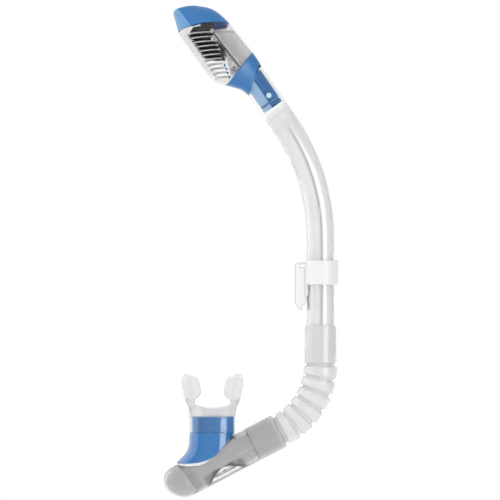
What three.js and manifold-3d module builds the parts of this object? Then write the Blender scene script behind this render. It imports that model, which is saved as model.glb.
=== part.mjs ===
// A dry-top snorkel: a bent clear barrel with a float-valve head on top, a mask-strap keeper,
// a ribbed silicone hose, and a lower chamber with a mouthpiece and a purge valve.
// Millimetres, +Z up. X runs across the side view and Y through it; the snorkel is symmetrical
// about the XZ plane. The origin is on the keeper's flat face, where the mask strap lies.

import * as THREE from 'three';
import * as BufferGeometryUtils from 'three/addons/utils/BufferGeometryUtils.js';
import Module from 'manifold-3d';

const wasm = await Module();
wasm.setup();

const rad = THREE.MathUtils.degToRad;

// ---------------------------------------------------------------- driving dimensions

const GAP = 0.3; // between touching pieces
const ROUND = 28; // sides of the large round pieces
const SMALL_ROUND = 20; // sides of the small ones

// Barrel: straight foot, one bend, straight top
const BARREL_X = 13.8; // the straight part's axis
const BARREL_R = 12.7;
const BARREL_BORE_R = 10.6;
const BARREL_FOOT_Z = -75.8;
const BEND_START_Z = 39;
const BEND_R = 184;
const BARREL_LEAN = 34.5; // degrees, above the bend
const BARREL_TOP = 72; // length of the straight top, before its oblique cut
const STOP_NIB = { z: 59, turn: 17, width: 9, height: 10, proud: 1.7 };
const CUFF_RIDGE = { r: 13.5, length: 3 };

// Head: an egg-shaped body that leans a little more than the barrel
const HEAD_LEAN = 38;
const HEAD_FOOT = 10.7; // from the bend's end to the head's own origin, along the barrel
const HEAD_WALL = 1.6;
const HEAD_SIDES = 32;
// along the head, reach to the back, reach to the front, half width
const HEAD_STATIONS = [
  [20, 14.2, 11.6, 12.9],
  [33, 14.9, 11.0, 12.9],
  [40, 15.4, 12.8, 13.2],
  [46, 15.8, 16.8, 14.0],
  [52, 16.3, 21.4, 15.2],
  [58, 16.7, 25.4, 16.4],
  [64, 16.8, 27.6, 17.4],
  [72, 16.8, 28.3, 18.0],
  [94, 16.6, 27.5, 18.0],
  [104, 15.4, 27.0, 17.6],
  [110, 14.1, 27.0, 16.8],
  [115, 12.2, 26.6, 15.6],
  [120, 9.0, 25.0, 13.8],
  [125, 4.4, 22.8, 11.2],
  [129.5, -0.2, 21.0, 8.4],
  [133.5, -7.0, 19.4, 5.2],
  [135.9, -12.6, 17.4, 2.0],
];
// joints between barrel, collar, shell and cap, in the head's frame
const RIM = { z: 39.1, tilt: -30.6 }; // collar on barrel, where it crosses the head's axis
const COLLAR_TOP = { z: 56.9, tilt: -14 };
const CAP_ARCH = { x: -40.4, z: 41.8, r: 78 };

// Louvres: flat slots through both sides of the shell, level when the snorkel is upright
const SLOT_COUNT = 10;
const SLOT_HEIGHT = 2.4;
const SLOT_FIRST = { z: 225.9, left: -108.6, right: -86 };
const SLOT_LAST = { z: 189.6, left: -84, right: -71.6 };

// Air duct and its valve
const DUCT = { front: 1.4, back: 14.4, half: 10.5, wall: 1.2, foot: 55.5 };
const DUCT_TOP_Z = 228.5;
const SEAT = { thick: 1.4, lip: 0.6, lipWidth: 1.2, left: -82, right: -74.5, half: 8.2 };
const PIN = { x: -86.3, z: 229.8, r: 1.1, half: 13.8 };
const HUB_R = 2.2;
const LUG = { inner: 4.6, outer: 7.2 };
const ARM = { inner: 11.6, outer: 13.4, left: -98 };
const CARRIER = { left: -88.4, right: -70.5, bottom: 232.5, thick: 4.6 };
const PAD = { left: -84.4, right: -72.6, bottom: 231.0, thick: 1.2, half: 10.6 };
const VALVE_OPEN = 8; // degrees from shut to the stored, open pose
const FLOAT_HALF = 11.3;

// Spigot of the collar, inside the barrel's top; distances from the bend's end
const SPIGOT = { low: 20.3, r: 10.0, bore: 7.9 };
const SEAL_GROOVE = { z: 25.2, width: 2.4, floor: 8.7 };
const SEAL = { ring: 9.55, section: 0.75 };
const BUTTON = { z: 31.1, turn: 13, r: 2.5, flangeR: 3.4, flangeIn: 6.1, flangeOut: 7.0, face: 12.5 };

// Keeper
const KEEPER = { r: 16.1, bore: 13.0, top: 18.5, bottom: -4.2, plateBottom: -14.2 };
const CLIP_HALF = 6.8;

// Flexible hose: upper cuff, ribs on a bend, lower cuff
const HOSE_TOP = 36.6; // above the bend
const HOSE_BEND_Z = -78.2;
const HOSE_R = 68.2;
const HOSE_TURN = 62.5;
const HOSE_CUFF = 28.5; // lower cuff's length
const RIBS = 6;
const RIB_R = 15.4;
const GROOVE_R = 12.7;
const HOSE_WALL = 1.5;
const UPPER_CUFF_R = 14.7;
const LOWER_CUFF_R = 16.2;
const CUFF_BORE_R = 13.1;
const HOSE_SIDES = 20;

// Lower chamber, in a frame at the hose's end with z towards the hose and x to the underside
const CHAMBER_R = 16;
const CHAMBER_WALL = 1.8;
const NECK_END = -3;
const SHOULDER = -28.8;
const CHAMBER_END = -96.5;
const DOME_CENTRE = -102.5;
const END_SEAL = 1.0;
const END_SLOPE = 0.18; // the end joint and its dome lean towards the mouthpiece's side
const SKIRT = { r: 13.9, wall: 1.5, length: 7 };

// Purge valve on the chamber's underside
const PURGE_Z = -63.2;
const PURGE = { long: 20.7, half: 14.7, wall: 1.6, top: 5.8, floor: 9.0, floorThick: 1.4 };
const PURGE_HOLE_R = 9.5;
const DIAPHRAGM = { r: 11, thick: 0.8, stem: 1.3, gap: 0.25 };
const PURGE_COVER = { inside: 13.4, slots: 4, slotWidth: 1.6, slotPitch: 3.6, slotHalf: 12.5 };

// Mouthpiece port and mouthpiece, upright ovals around one axis
const MOUTH_X = -86.1;
const PORT_WALL = 2.2;
const PORT_BOTTOM = -174;
const PORT_TOP = -125.8;
const SLEEVE_END = -140.6;
// height, left reach, right reach, half depth
const PORT_STATIONS = [
  [PORT_BOTTOM, 34.2, 18.4, 16.2],
  [-170.2, 34.0, 18.8, 16.2],
  [-166, 30.4, 19.1, 16.1],
  [-161.4, 25.8, 19.3, 15.9],
  [-153.6, 22.0, 19.6, 15.5],
  [-147, 21.4, 20.1, 15.2],
  [SLEEVE_END - GAP, 21.0, 20.4, 15.0],
  [SLEEVE_END, 19.9, 19.9, 13.6],
  [PORT_TOP, 19.9, 19.9, 13.6],
];
const MOUTH_STATIONS = [
  [SLEEVE_END, 21.1, 21.1, 15.0],
  [-126, 21.1, 21.1, 15.0],
  [-121.5, 21.5, 21.5, 14.8],
  [-118, 22.3, 22.3, 15.2],
  [-114.5, 23.5, 23.5, 14.8],
  [-110, 25.0, 25.0, 13.2],
];
const AIRWAY_STATIONS = [
  [SLEEVE_END - 1, 20.2, 20.2, 13.9],
  [PORT_TOP + GAP, 20.2, 20.2, 13.9],
  [-123.5, 14.5, 14.5, 9.5],
  [-118, 10.6, 10.6, 6.2],
  [-100, 10.6, 10.6, 6.2],
];
const SADDLE = { r: 36, low: -118.4 };
const TAB_HALF = 2.7;
const BITE_RIDGE = { r: 1.5, x: 18.5, z: -101, length: 12 };

// ---------------------------------------------------------------- materials

const plastic = (color, roughness) => new THREE.MeshStandardMaterial({ color, roughness, metalness: 0 });

const clearPlastic = () => plastic(0xe4e8ea, 0.08);
const smokyPlastic = () => plastic(0xb9bcbd, 0.1);
const bluePlastic = () => plastic(0x3c7dbe, 0.28);
const whitePlastic = () => plastic(0xf2f2f2, 0.4);
const blackPlastic = () => plastic(0x17191c, 0.35);
const blackFoam = () => plastic(0x101112, 0.6);
const clearSilicone = () => plastic(0xe6e8e8, 0.35);
const sealRubber = () => plastic(0x23262b, 0.7);
const steel = () => new THREE.MeshStandardMaterial({ color: 0xb8bcc0, roughness: 0.3, metalness: 1 });

// ---------------------------------------------------------------- solids

// A closed three.js geometry as a manifold, with merged corners and outward faces
function solid(geometry) {
  const bare = new THREE.BufferGeometry();
  bare.setAttribute('position', geometry.getAttribute('position').clone());
  if (geometry.index) bare.setIndex(geometry.index.clone());
  const merged = BufferGeometryUtils.mergeVertices(bare, 1e-4);
  const position = merged.getAttribute('position');
  const corner = [new THREE.Vector3(), new THREE.Vector3(), new THREE.Vector3()];
  const triangles = [];
  let volume = 0;
  for (let i = 0; i < merged.index.count; i += 3) {
    const [a, b, c] = [0, 1, 2].map((k) => merged.index.getX(i + k));
    if (a === b || b === c || c === a) continue;
    triangles.push([a, b, c]);
    [a, b, c].forEach((v, k) => corner[k].fromBufferAttribute(position, v));
    volume += corner[0].dot(corner[1].cross(corner[2]));
  }
  const facing = volume > 0 ? triangles : triangles.map(([a, b, c]) => [a, c, b]);
  return new wasm.Manifold(
    new wasm.Mesh({
      numProp: 3,
      vertProperties: new Float32Array(position.array),
      triVerts: new Uint32Array(facing.flat()),
    }),
  );
}

function geometryOf(shape) {
  const { vertProperties, triVerts } = shape.getMesh();
  const geometry = new THREE.BufferGeometry();
  geometry.setAttribute('position', new THREE.BufferAttribute(new Float32Array(vertProperties), 3));
  geometry.setIndex(new THREE.BufferAttribute(new Uint32Array(triVerts), 1));
  geometry.computeVertexNormals();
  return geometry;
}

function piece(name, shape, material) {
  const mesh = new THREE.Mesh(geometryOf(shape), material);
  mesh.name = name;
  return mesh;
}

const moved = (shape, matrix) => shape.transform(matrix.elements);

const shifted = (shape, x, y, z) => moved(shape, new THREE.Matrix4().makeTranslation(x, y, z));

// A closed skin over rings of points, all with the same number of points
function loft(rings) {
  const count = rings[0].length;
  const points = rings.flat();
  const faces = [];
  for (let r = 0; r + 1 < rings.length; r += 1) {
    for (let i = 0; i < count; i += 1) {
      const next = (i + 1) % count;
      const [a, b] = [r * count + i, r * count + next];
      const [c, d] = [a + count, b + count];
      faces.push([a, b, d], [a, d, c]);
    }
  }
  [0, rings.length - 1].forEach((r) => {
    const centre = new THREE.Vector3();
    rings[r].forEach((p) => centre.addScaledVector(p, 1 / count));
    points.push(centre);
    for (let i = 0; i < count; i += 1) {
      const [a, b] = [r * count + i, r * count + ((i + 1) % count)];
      faces.push(r === 0 ? [points.length - 1, b, a] : [points.length - 1, a, b]);
    }
  });
  const geometry = new THREE.BufferGeometry().setFromPoints(points);
  geometry.setIndex(faces.flat());
  return solid(geometry);
}

// An oval ring at height z, from x = -left to x = right, y = -half to y = half
function oval(z, left, right, half, sides, squareness = 1) {
  const middle = (right - left) / 2;
  const reach = (right + left) / 2;
  return Array.from({ length: sides }, (_, i) => {
    const angle = (2 * Math.PI * i) / sides;
    const side = Math.sign(Math.sin(angle)) * Math.abs(Math.sin(angle)) ** squareness;
    return new THREE.Vector3(middle + reach * Math.cos(angle), half * side, z);
  });
}

// A turned piece from a closed profile of [radius, height] points
function turned(profile, sides) {
  const points = [...profile, profile[0]].map(([r, z]) => new THREE.Vector2(r, z));
  return solid(new THREE.LatheGeometry(points, sides).rotateX(Math.PI / 2));
}

const ring = (inner, outer, low, high, sides) =>
  turned([[inner, low], [outer, low], [outer, high], [inner, high]], sides);

function disc(r, low, high, sides) {
  const upright = new THREE.CylinderGeometry(r, r, high - low, sides).rotateX(Math.PI / 2);
  return solid(upright.translate(0, 0, (low + high) / 2));
}

// A round bar along Y
const crossBar = (r, x, z, from, to, sides) =>
  solid(new THREE.CylinderGeometry(r, r, to - from, sides).translate(x, (from + to) / 2, z));

function box(x0, x1, y0, y1, z0, z1) {
  const centred = new THREE.BoxGeometry(x1 - x0, y1 - y0, z1 - z0);
  return solid(centred.translate((x0 + x1) / 2, (y0 + y1) / 2, (z0 + z1) / 2));
}

// A flat outline of [x, z] points, or a THREE.Shape in them, given thickness from y0 to y1
function plate(outline, y0, y1, curveSegments = 6) {
  const shape = Array.isArray(outline)
    ? new THREE.Shape(outline.map(([x, z]) => new THREE.Vector2(x, z)))
    : outline;
  const options = { depth: y1 - y0, bevelEnabled: false, curveSegments };
  const geometry = new THREE.ExtrudeGeometry(shape, options);
  return solid(geometry.rotateX(Math.PI / 2).translate(0, y1, 0));
}

// Everything above a tilted plane that crosses the z axis at height z
function above(z, tilt) {
  const half = 100;
  const block = new THREE.BoxGeometry(2 * half, 2 * half, 2 * half).translate(0, 0, half);
  return solid(block.rotateY(rad(tilt)).translate(0, 0, z));
}

// ---------------------------------------------------------------- frames

function frame(x, z, turn) {
  return new THREE.Matrix4().makeRotationY(turn).setPosition(x, 0, z);
}

// a point on the barrel's bend, and the frames of its straight top and of the head
const bendPoint = (angle) => [
  BARREL_X - BEND_R * (1 - Math.cos(angle)),
  BEND_START_Z + BEND_R * Math.sin(angle),
];
const [TOP_X, TOP_Z] = bendPoint(rad(BARREL_LEAN));
const topFrame = frame(TOP_X, TOP_Z, -rad(BARREL_LEAN));
const headFrame = frame(
  TOP_X - HEAD_FOOT * Math.sin(rad(BARREL_LEAN)),
  TOP_Z + HEAD_FOOT * Math.cos(rad(BARREL_LEAN)),
  -rad(HEAD_LEAN),
);
const intoHead = headFrame.clone().invert();

// the chamber's frame, at the end of the hose's bend
const chamberFrame = frame(
  BARREL_X - HOSE_R * (1 - Math.cos(rad(HOSE_TURN))),
  HOSE_BEND_Z - HOSE_R * Math.sin(rad(HOSE_TURN)),
  rad(HOSE_TURN),
);
const intoChamber = chamberFrame.clone().invert();

// ---------------------------------------------------------------- barrel

// The barrel's centre line. Its samples fall where they are needed: the first and last step
// are the straight ends, and all the others divide the bend.
class BarrelLine extends THREE.Curve {
  constructor(bendSteps) {
    super();
    this.steps = bendSteps + 2;
  }

  getPoint(t, target = new THREE.Vector3()) {
    const step = t * this.steps;
    const turn = THREE.MathUtils.clamp((step - 1) / (this.steps - 2), 0, 1) * rad(BARREL_LEAN);
    const [x, z] = bendPoint(turn);
    const below = Math.max(1 - step, 0) * (BEND_START_Z - BARREL_FOOT_Z);
    const beyond = Math.max(step - this.steps + 1, 0) * BARREL_TOP;
    return target.set(
      x - beyond * Math.sin(turn),
      0,
      z - below + beyond * Math.cos(turn),
    );
  }

  getUtoTmapping(u) {
    return u;
  }
}

function tubeAlongBarrel(r) {
  const bendSteps = 10;
  const section = new THREE.Shape(
    Array.from({ length: ROUND }, (_, i) => {
      const angle = (2 * Math.PI * i) / ROUND;
      return new THREE.Vector2(r * Math.cos(angle), r * Math.sin(angle));
    }),
  );
  const line = new BarrelLine(bendSteps);
  const options = { steps: line.steps, extrudePath: line, bevelEnabled: false };
  return solid(new THREE.ExtrudeGeometry(section, options));
}

// The wedge that stops the keeper, on the barrel's near side, flat face down
function stopNib() {
  const { z, turn, width, height, proud } = STOP_NIB;
  const root = BARREL_R - 1.2;
  const outline = [[root, 0], [BARREL_R + proud, 0], [BARREL_R + 0.2, height], [root, height]];
  const wedge = plate(outline, -width / 2, width / 2);
  const lean = Math.asin((z - BEND_START_Z) / BEND_R);
  const [x, at] = bendPoint(lean);
  const aboutBarrel = new THREE.Matrix4().makeRotationZ(rad(-90 - turn));
  return moved(wedge, frame(x, at, -lean).multiply(aboutBarrel));
}

function cuffRidge(low) {
  const { r, length } = CUFF_RIDGE;
  const root = BARREL_R - 0.6;
  const high = low + length;
  return turned([[root, low], [BARREL_R, low], [r, low + 0.8], [r, high], [root, high]], ROUND);
}

function barrel() {
  const cut = moved(above(RIM.z - GAP / 2, RIM.tilt), headFrame);
  const holes = [1, -1].map((side) => moved(disc(BUTTON.r + GAP, 8, 16, SMALL_ROUND), buttonFrame(side)));
  let body = tubeAlongBarrel(BARREL_R).add(stopNib());
  body = body.add(shifted(cuffRidge(BARREL_FOOT_Z + 8), BARREL_X, 0, 0));
  body = body.subtract(tubeAlongBarrel(BARREL_BORE_R)).subtract(cut);
  // the bore's own end faces lie on the tube's, so both ends are trimmed a little
  body = body.subtract(box(-20, 60, -30, 30, BARREL_FOOT_Z - 5, BARREL_FOOT_Z + 0.2));
  return holes.reduce((rest, hole) => rest.subtract(hole), body);
}

// ---------------------------------------------------------------- head body

function headBody(inset) {
  const rings = HEAD_STATIONS.map(([z, back, front, half]) => {
    const lowered = z - (inset * Math.max(z - 100, 0)) / 36;
    return oval(lowered, front - inset, back - inset, Math.max(half - inset, 0.4), HEAD_SIDES, 0.86);
  });
  return loft(rings);
}

const aboveCollar = (offset) => above(COLLAR_TOP.z + offset, COLLAR_TOP.tilt);

function underArch(offset) {
  const r = CAP_ARCH.r + offset;
  return solid(new THREE.CylinderGeometry(r, r, 80, 72).translate(CAP_ARCH.x, 0, CAP_ARCH.z));
}

// A level slot through both sides, leaving the duct's stretch and the front edge whole
function slot(index) {
  const t = index / (SLOT_COUNT - 1);
  const z = THREE.MathUtils.lerp(SLOT_FIRST.z, SLOT_LAST.z, t);
  const left = THREE.MathUtils.lerp(SLOT_FIRST.left, SLOT_LAST.left, t);
  const right = THREE.MathUtils.lerp(SLOT_FIRST.right, SLOT_LAST.right, t);
  return moved(box(left, right, -30, 30, z - SLOT_HEIGHT / 2, z + SLOT_HEIGHT / 2), intoHead);
}

function headShell(outer, inner) {
  let shell = outer.subtract(inner).intersect(underArch(-GAP / 2)).intersect(aboveCollar(GAP / 2));
  for (let i = 0; i < SLOT_COUNT; i += 1) shell = shell.subtract(slot(i));
  return shell;
}

const headCap = (outer, inner) => outer.subtract(inner).subtract(underArch(GAP / 2));

// ---------------------------------------------------------------- air duct and float valve

// A ring of the duct's outline at height z in the head's frame, reduced by inset
function ductRing(z, inset) {
  const { front, back, half } = DUCT;
  return oval(z, -front - inset, back - inset, half - inset, SMALL_ROUND, 0.45);
}

// The duct's outside, or its bore with an inset; at the back it follows the shell's inside
const ductPrism = (low, inset) =>
  loft([ductRing(low, inset), ductRing(118, inset)]).intersect(headBody(HEAD_WALL + 0.4 + inset));

const worldBox = (...sides) => moved(box(...sides), intoHead);

function airDuct() {
  const tube = ductPrism(DUCT.foot, 0);
  const bore = ductPrism(DUCT.foot - 5, DUCT.wall);
  const lugs = [-1, 1].map((side) => {
    const [y0, y1] = [LUG.inner * side, LUG.outer * side].sort((a, b) => a - b);
    const hub = moved(crossBar(HUB_R, PIN.x, PIN.z, y0, y1, SMALL_ROUND), intoHead);
    const web = worldBox(PIN.x, PIN.x + 6, y0, y1, PIN.z - HUB_R, DUCT_TOP_Z);
    return hub.add(web);
  });
  const openTop = worldBox(-140, -20, -40, 40, DUCT_TOP_Z, 300);
  const pinHole = moved(crossBar(PIN.r + 0.1, PIN.x, PIN.z, -20, 20, SMALL_ROUND), intoHead);
  const body = lugs.reduce((sum, lug) => sum.add(lug), tube.subtract(openTop));
  return body.subtract(bore).subtract(pinHole);
}

// The rectangular plate on the duct's top, with a raised lip around its opening
function valveSeat() {
  const low = DUCT_TOP_Z + GAP;
  const high = low + SEAT.thick;
  const edge = SEAT.lipWidth;
  const slab = ductPrism(80, 0).intersect(worldBox(-100, -50, -20, 20, low, high));
  const lip = worldBox(
    SEAT.left - edge, SEAT.right + edge, -SEAT.half - edge, SEAT.half + edge, high - 0.5, high + SEAT.lip,
  );
  const opening = worldBox(SEAT.left, SEAT.right, -SEAT.half, SEAT.half, low - 5, high + 5);
  return slab.add(lip).subtract(opening);
}

const hingePin = () => crossBar(PIN.r, PIN.x, PIN.z, -PIN.half, PIN.half, SMALL_ROUND);

// The lever is drawn shut, level over the seat, and then swung open about its pin
function opened(shape) {
  const swing = frame(PIN.x, PIN.z, -rad(VALVE_OPEN));
  return moved(shape, swing.multiply(new THREE.Matrix4().makeTranslation(-PIN.x, 0, -PIN.z)));
}

function floatArm() {
  const { left, right, bottom, thick } = CARRIER;
  const carrier = box(left, right, -ARM.outer, ARM.outer, bottom, bottom + thick);
  const cheeks = [-1, 1].map((side) => {
    const [y0, y1] = [ARM.inner * side, ARM.outer * side].sort((a, b) => a - b);
    const outline = [
      [ARM.left, PIN.z - 7], [ARM.left + 5, PIN.z - 8], [PIN.x + HUB_R, PIN.z - HUB_R],
      [PIN.x + HUB_R, bottom], [PIN.x + HUB_R, bottom + thick], [left, bottom + thick],
      [ARM.left + 2, bottom + thick], [ARM.left, PIN.z - 1],
    ];
    return plate(outline, y0, y1);
  });
  const pinHole = crossBar(PIN.r + 0.15, PIN.x, PIN.z, -20, 20, SMALL_ROUND);
  const lever = cheeks.reduce((sum, cheek) => sum.add(cheek), carrier).subtract(pinHole);
  return opened(lever).intersect(leverRoom());
}

const leverRoom = () => moved(headBody(HEAD_WALL + 1), headFrame);

function floatSeal() {
  const { left, right, bottom, thick, half } = PAD;
  return opened(box(left, right, -half, half, bottom, bottom + thick)).intersect(leverRoom());
}

// The float fills the front of the head, clear of its walls and of the hinge
function floatBlock() {
  const outline = [
    [-21, 109.4], [-12.4, 112.8], [-5, 109.4], [-4.6, 93], [-2.4, 90],
    [-2.4, 80], [-7.4, 70.8], [-14.6, 75.8], [-22.4, 84.6],
  ];
  return plate(outline, -FLOAT_HALF, FLOAT_HALF).intersect(headBody(HEAD_WALL + 2.4));
}

// ---------------------------------------------------------------- collar, seal and lock buttons

// From the duct's oblong foot down to the round bore of the spigot
function airPassage() {
  const lean = rad(HEAD_LEAN - BARREL_LEAN);
  const boreAt = (z) => {
    const aside = z * Math.tan(lean);
    return oval(z, SPIGOT.bore - aside, SPIGOT.bore + aside, SPIGOT.bore, SMALL_ROUND);
  };
  return loft([boreAt(30), boreAt(36), ductRing(52, DUCT.wall), ductRing(70, DUCT.wall)]);
}

function headCollar(outer) {
  const upper = outer.intersect(above(RIM.z + GAP / 2, RIM.tilt)).subtract(aboveCollar(-GAP / 2));
  const topInHead = intoHead.clone().multiply(topFrame);
  const spigot = moved(disc(SPIGOT.r, SPIGOT.low, 62, ROUND), topInHead);
  const bore = moved(disc(SPIGOT.bore, SPIGOT.low - 5, 44, SMALL_ROUND), topInHead);
  const { z, width, floor } = SEAL_GROOVE;
  const groove = moved(ring(floor, SPIGOT.r + 1, z - width / 2, z + width / 2, ROUND), topInHead);
  const socket = loft([ductRing(DUCT.foot - GAP, -GAP), ductRing(80, -GAP)]);
  const ductSocket = socket.intersect(headBody(HEAD_WALL));
  const buttonHoles = [1, -1].map((side) =>
    moved(disc(BUTTON.r + GAP, 3, 11, SMALL_ROUND), intoHead.clone().multiply(buttonFrame(side))),
  );
  const cuts = [airPassage(), bore, groove, ductSocket, ...buttonHoles];
  return cuts.reduce((rest, cut) => rest.subtract(cut), upper.add(spigot));
}

function spigotSeal() {
  const sides = 8;
  const profile = Array.from({ length: sides }, (_, i) => {
    const angle = (2 * Math.PI * (i + 0.5)) / sides;
    return [SEAL.ring + SEAL.section * Math.cos(angle), SEAL_GROOVE.z + SEAL.section * Math.sin(angle)];
  });
  return turned(profile, ROUND);
}

// The buttons' axes are radial, one each side: side 1 is near (-Y), side -1 is far (+Y)
function buttonFrame(side) {
  const outward = new THREE.Matrix4().makeRotationX(side * Math.PI / 2);
  const turn = new THREE.Matrix4().makeRotationZ(side * rad(BUTTON.turn));
  const height = new THREE.Matrix4().makeTranslation(0, 0, BUTTON.z);
  return topFrame.clone().multiply(height).multiply(turn).multiply(outward);
}

function lockButton() {
  const { r, flangeR, flangeIn, flangeOut, face } = BUTTON;
  const profile = [
    [0, flangeIn], [flangeR, flangeIn], [flangeR, flangeOut], [r, flangeOut],
    [r, face - 0.6], [r - 0.8, face], [0, face],
  ];
  const points = profile.map(([x, y]) => new THREE.Vector2(x, y));
  return solid(new THREE.LatheGeometry(points, SMALL_ROUND).rotateX(Math.PI / 2));
}

// ---------------------------------------------------------------- keeper

// Clip outline in the XZ plane: back plate, bridge over the top, tongue, and its hooked toe
function clipOutline() {
  const clip = new THREE.Shape();
  clip.moveTo(2.5, 16.2);
  clip.lineTo(-5.2, 16.2);
  clip.quadraticCurveTo(-9.6, 16.2, -9.6, 11.8);
  clip.lineTo(-9.6, -20.4);
  clip.quadraticCurveTo(-9.2, -25.2, -4.2, -27.8);
  clip.lineTo(-3.0, -26.4);
  clip.lineTo(-3.6, -23.6);
  clip.quadraticCurveTo(0.4, -22.8, 0.7, -15.8);
  clip.lineTo(-1.0, -15.8);
  clip.lineTo(-1.0, 11.6);
  clip.lineTo(-5.6, 11.6);
  clip.lineTo(-5.6, 14.6);
  clip.lineTo(0, 14.6);
  clip.lineTo(0, KEEPER.plateBottom);
  clip.lineTo(2.5, KEEPER.plateBottom);
  return clip;
}

function keeper() {
  const { r, bore, top, bottom } = KEEPER;
  const soft = 1.2; // rounded rims of the band
  const profile = [
    [5, bottom], [r - soft, bottom], [r, bottom + soft], [r, top - soft], [r - soft, top], [5, top],
  ];
  const band = turned(profile, ROUND);
  const flat = box(-30, 0, -30, 30, -60, 60);
  const onBarrel = shifted(band, BARREL_X, 0, 0).subtract(flat);
  const hole = shifted(disc(bore, -60, 60, ROUND), BARREL_X, 0, 0);
  return onBarrel.add(plate(clipOutline(), -CLIP_HALF, CLIP_HALF)).subtract(hole);
}

// ---------------------------------------------------------------- flexible hose

// The hose's outer and inner walls as one closed profile, straight, before it is bent
function hoseProfile() {
  const length = HOSE_R * rad(HOSE_TURN);
  const pitch = length / RIBS;
  const end = -length - HOSE_CUFF;
  const bore = GROOVE_R - HOSE_WALL;
  const ribBore = RIB_R - HOSE_WALL;
  const ridge = CUFF_RIDGE.r + GAP;
  const foot = BARREL_FOOT_Z - HOSE_BEND_Z; // of the barrel, in this profile's heights
  const outer = [
    [CUFF_BORE_R, HOSE_TOP], [UPPER_CUFF_R - 0.8, HOSE_TOP],
    [UPPER_CUFF_R, HOSE_TOP - 3], [UPPER_CUFF_R, 2],
  ];
  const inner = [];
  for (let i = 0; i < RIBS; i += 1) {
    const z = -i * pitch;
    outer.push([GROOVE_R, z + 0.9], [GROOVE_R, z - 0.9], [RIB_R, z - 2.4], [RIB_R, z - pitch + 2.4]);
    inner.push(
      [bore, z - 1.4], [ribBore, z - 3.2], [ribBore, z - pitch + 3.2], [bore, z - pitch + 1.4],
    );
  }
  outer.push(
    [GROOVE_R, -length + 0.9], [GROOVE_R, -length - 0.9],
    [LOWER_CUFF_R, -length - 2.2], [LOWER_CUFF_R, end],
  );
  const lowerSocket = [
    [CUFF_BORE_R, end],
    [CUFF_BORE_R, -length - 12.2],
    [ridge, -length - 12.2],
    [ridge, -length - 7.6],
    [CUFF_BORE_R, -length - 7.6],
    [CUFF_BORE_R, -length - 2.6],
    [bore, -length - 2.6],
  ];
  const upperSocket = [
    [bore, foot - 0.6],
    [CUFF_BORE_R, foot - 0.6],
    [CUFF_BORE_R, foot + 7.6],
    [ridge, foot + 7.6],
    [ridge, foot + 12.4],
    [CUFF_BORE_R, foot + 12.4],
  ];
  return [...outer, ...lowerSocket, ...inner.reverse(), ...upperSocket];
}

// Bends a straight piece below z = 0 around an axis at x = -HOSE_R, through HOSE_TURN
function bend(geometry) {
  const position = geometry.getAttribute('position');
  const turn = rad(HOSE_TURN);
  for (let i = 0; i < position.count; i += 1) {
    const [x, z] = [position.getX(i), position.getZ(i)];
    if (z > 0) continue;
    const angle = Math.min(-z / HOSE_R, turn);
    const beyond = Math.max(-z - HOSE_R * turn, 0);
    position.setX(i, (HOSE_R + x) * Math.cos(angle) - HOSE_R - beyond * Math.sin(angle));
    position.setZ(i, -(HOSE_R + x) * Math.sin(angle) - beyond * Math.cos(angle));
  }
  return geometry;
}

function flexHose() {
  const profile = hoseProfile();
  const points = [...profile, profile[0]].map(([r, z]) => new THREE.Vector2(r, z));
  const straight = new THREE.LatheGeometry(points, HOSE_SIDES).rotateX(Math.PI / 2);
  return shifted(solid(bend(straight)), BARREL_X, 0, HOSE_BEND_Z);
}

// ---------------------------------------------------------------- lower chamber

const chamberCylinder = (r) => moved(disc(r, -140, -20, ROUND), chamberFrame);

function chamberShell() {
  const inner = CHAMBER_R - CHAMBER_WALL;
  const neckBore = BARREL_BORE_R;
  const ridge = CUFF_RIDGE.r;
  return turned([
    [neckBore, NECK_END], [BARREL_R, NECK_END],
    [BARREL_R, -8], [ridge, -8.8], [ridge, -11.6], [BARREL_R, -11.6],
    [BARREL_R, SHOULDER], [CHAMBER_R, SHOULDER],
    [CHAMBER_R, CHAMBER_END], [inner, CHAMBER_END],
    [inner, SHOULDER - 5], [neckBore, SHOULDER - 1],
  ], ROUND);
}

// An upright oval prism on the underside, x from low to high
function purgeOval(inset, low, high) {
  const [reach, half] = [PURGE.long - inset, PURGE.half - inset];
  const section = [low, high].map((x) => oval(x, reach, reach, half, ROUND));
  const outward = new THREE.Matrix4().makeRotationY(Math.PI / 2).setPosition(0, 0, PURGE_Z);
  return moved(loft(section), outward);
}

// Leans the end of a straight piece of the chamber, all below that height
const leaned = (shape, below) =>
  shape.warp((point) => {
    if (point[2] < below) point[2] += END_SLOPE * point[0];
  });

function chamber() {
  const portHole = moved(portBore(), intoChamber);
  const purgeRecess = purgeOval(-GAP, PURGE.top - GAP, 30);
  return leaned(chamberShell(), CHAMBER_END + 1).subtract(portHole).subtract(purgeRecess);
}

function chamberEndCap() {
  const outer = CHAMBER_R;
  const inner = CHAMBER_R - CHAMBER_WALL;
  const face = CHAMBER_END - END_SEAL - 0.5;
  const steps = 5;
  const dome = (r) => Array.from({ length: steps + 1 }, (_, i) => {
    const angle = (Math.PI / 2) * (i / steps);
    return [i === steps ? 0 : r * Math.cos(angle), DOME_CENTRE - r * Math.sin(angle)];
  });
  const skirtTop = CHAMBER_END + SKIRT.length;
  const skirtIn = SKIRT.r - SKIRT.wall;
  const profile = [
    ...dome(inner).reverse(), [inner, face - 1.6], [skirtIn, face - 0.4],
    [skirtIn, skirtTop], [SKIRT.r, skirtTop], [SKIRT.r, face], [outer, face], ...dome(outer),
  ];
  const points = profile.map(([r, z]) => new THREE.Vector2(r, z));
  return leaned(solid(new THREE.LatheGeometry(points, ROUND).rotateX(Math.PI / 2)), 0);
}

function endCapSeal() {
  const high = CHAMBER_END - 0.25;
  return leaned(ring(SKIRT.r + 0.2, CHAMBER_R - 0.1, high - END_SEAL, high, ROUND), 0);
}

// ---------------------------------------------------------------- purge valve

// Inside the chamber's own round outline, reduced by inset
const withinChamber = (inset) => disc(CHAMBER_R - inset, -140, -20, ROUND);

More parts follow.
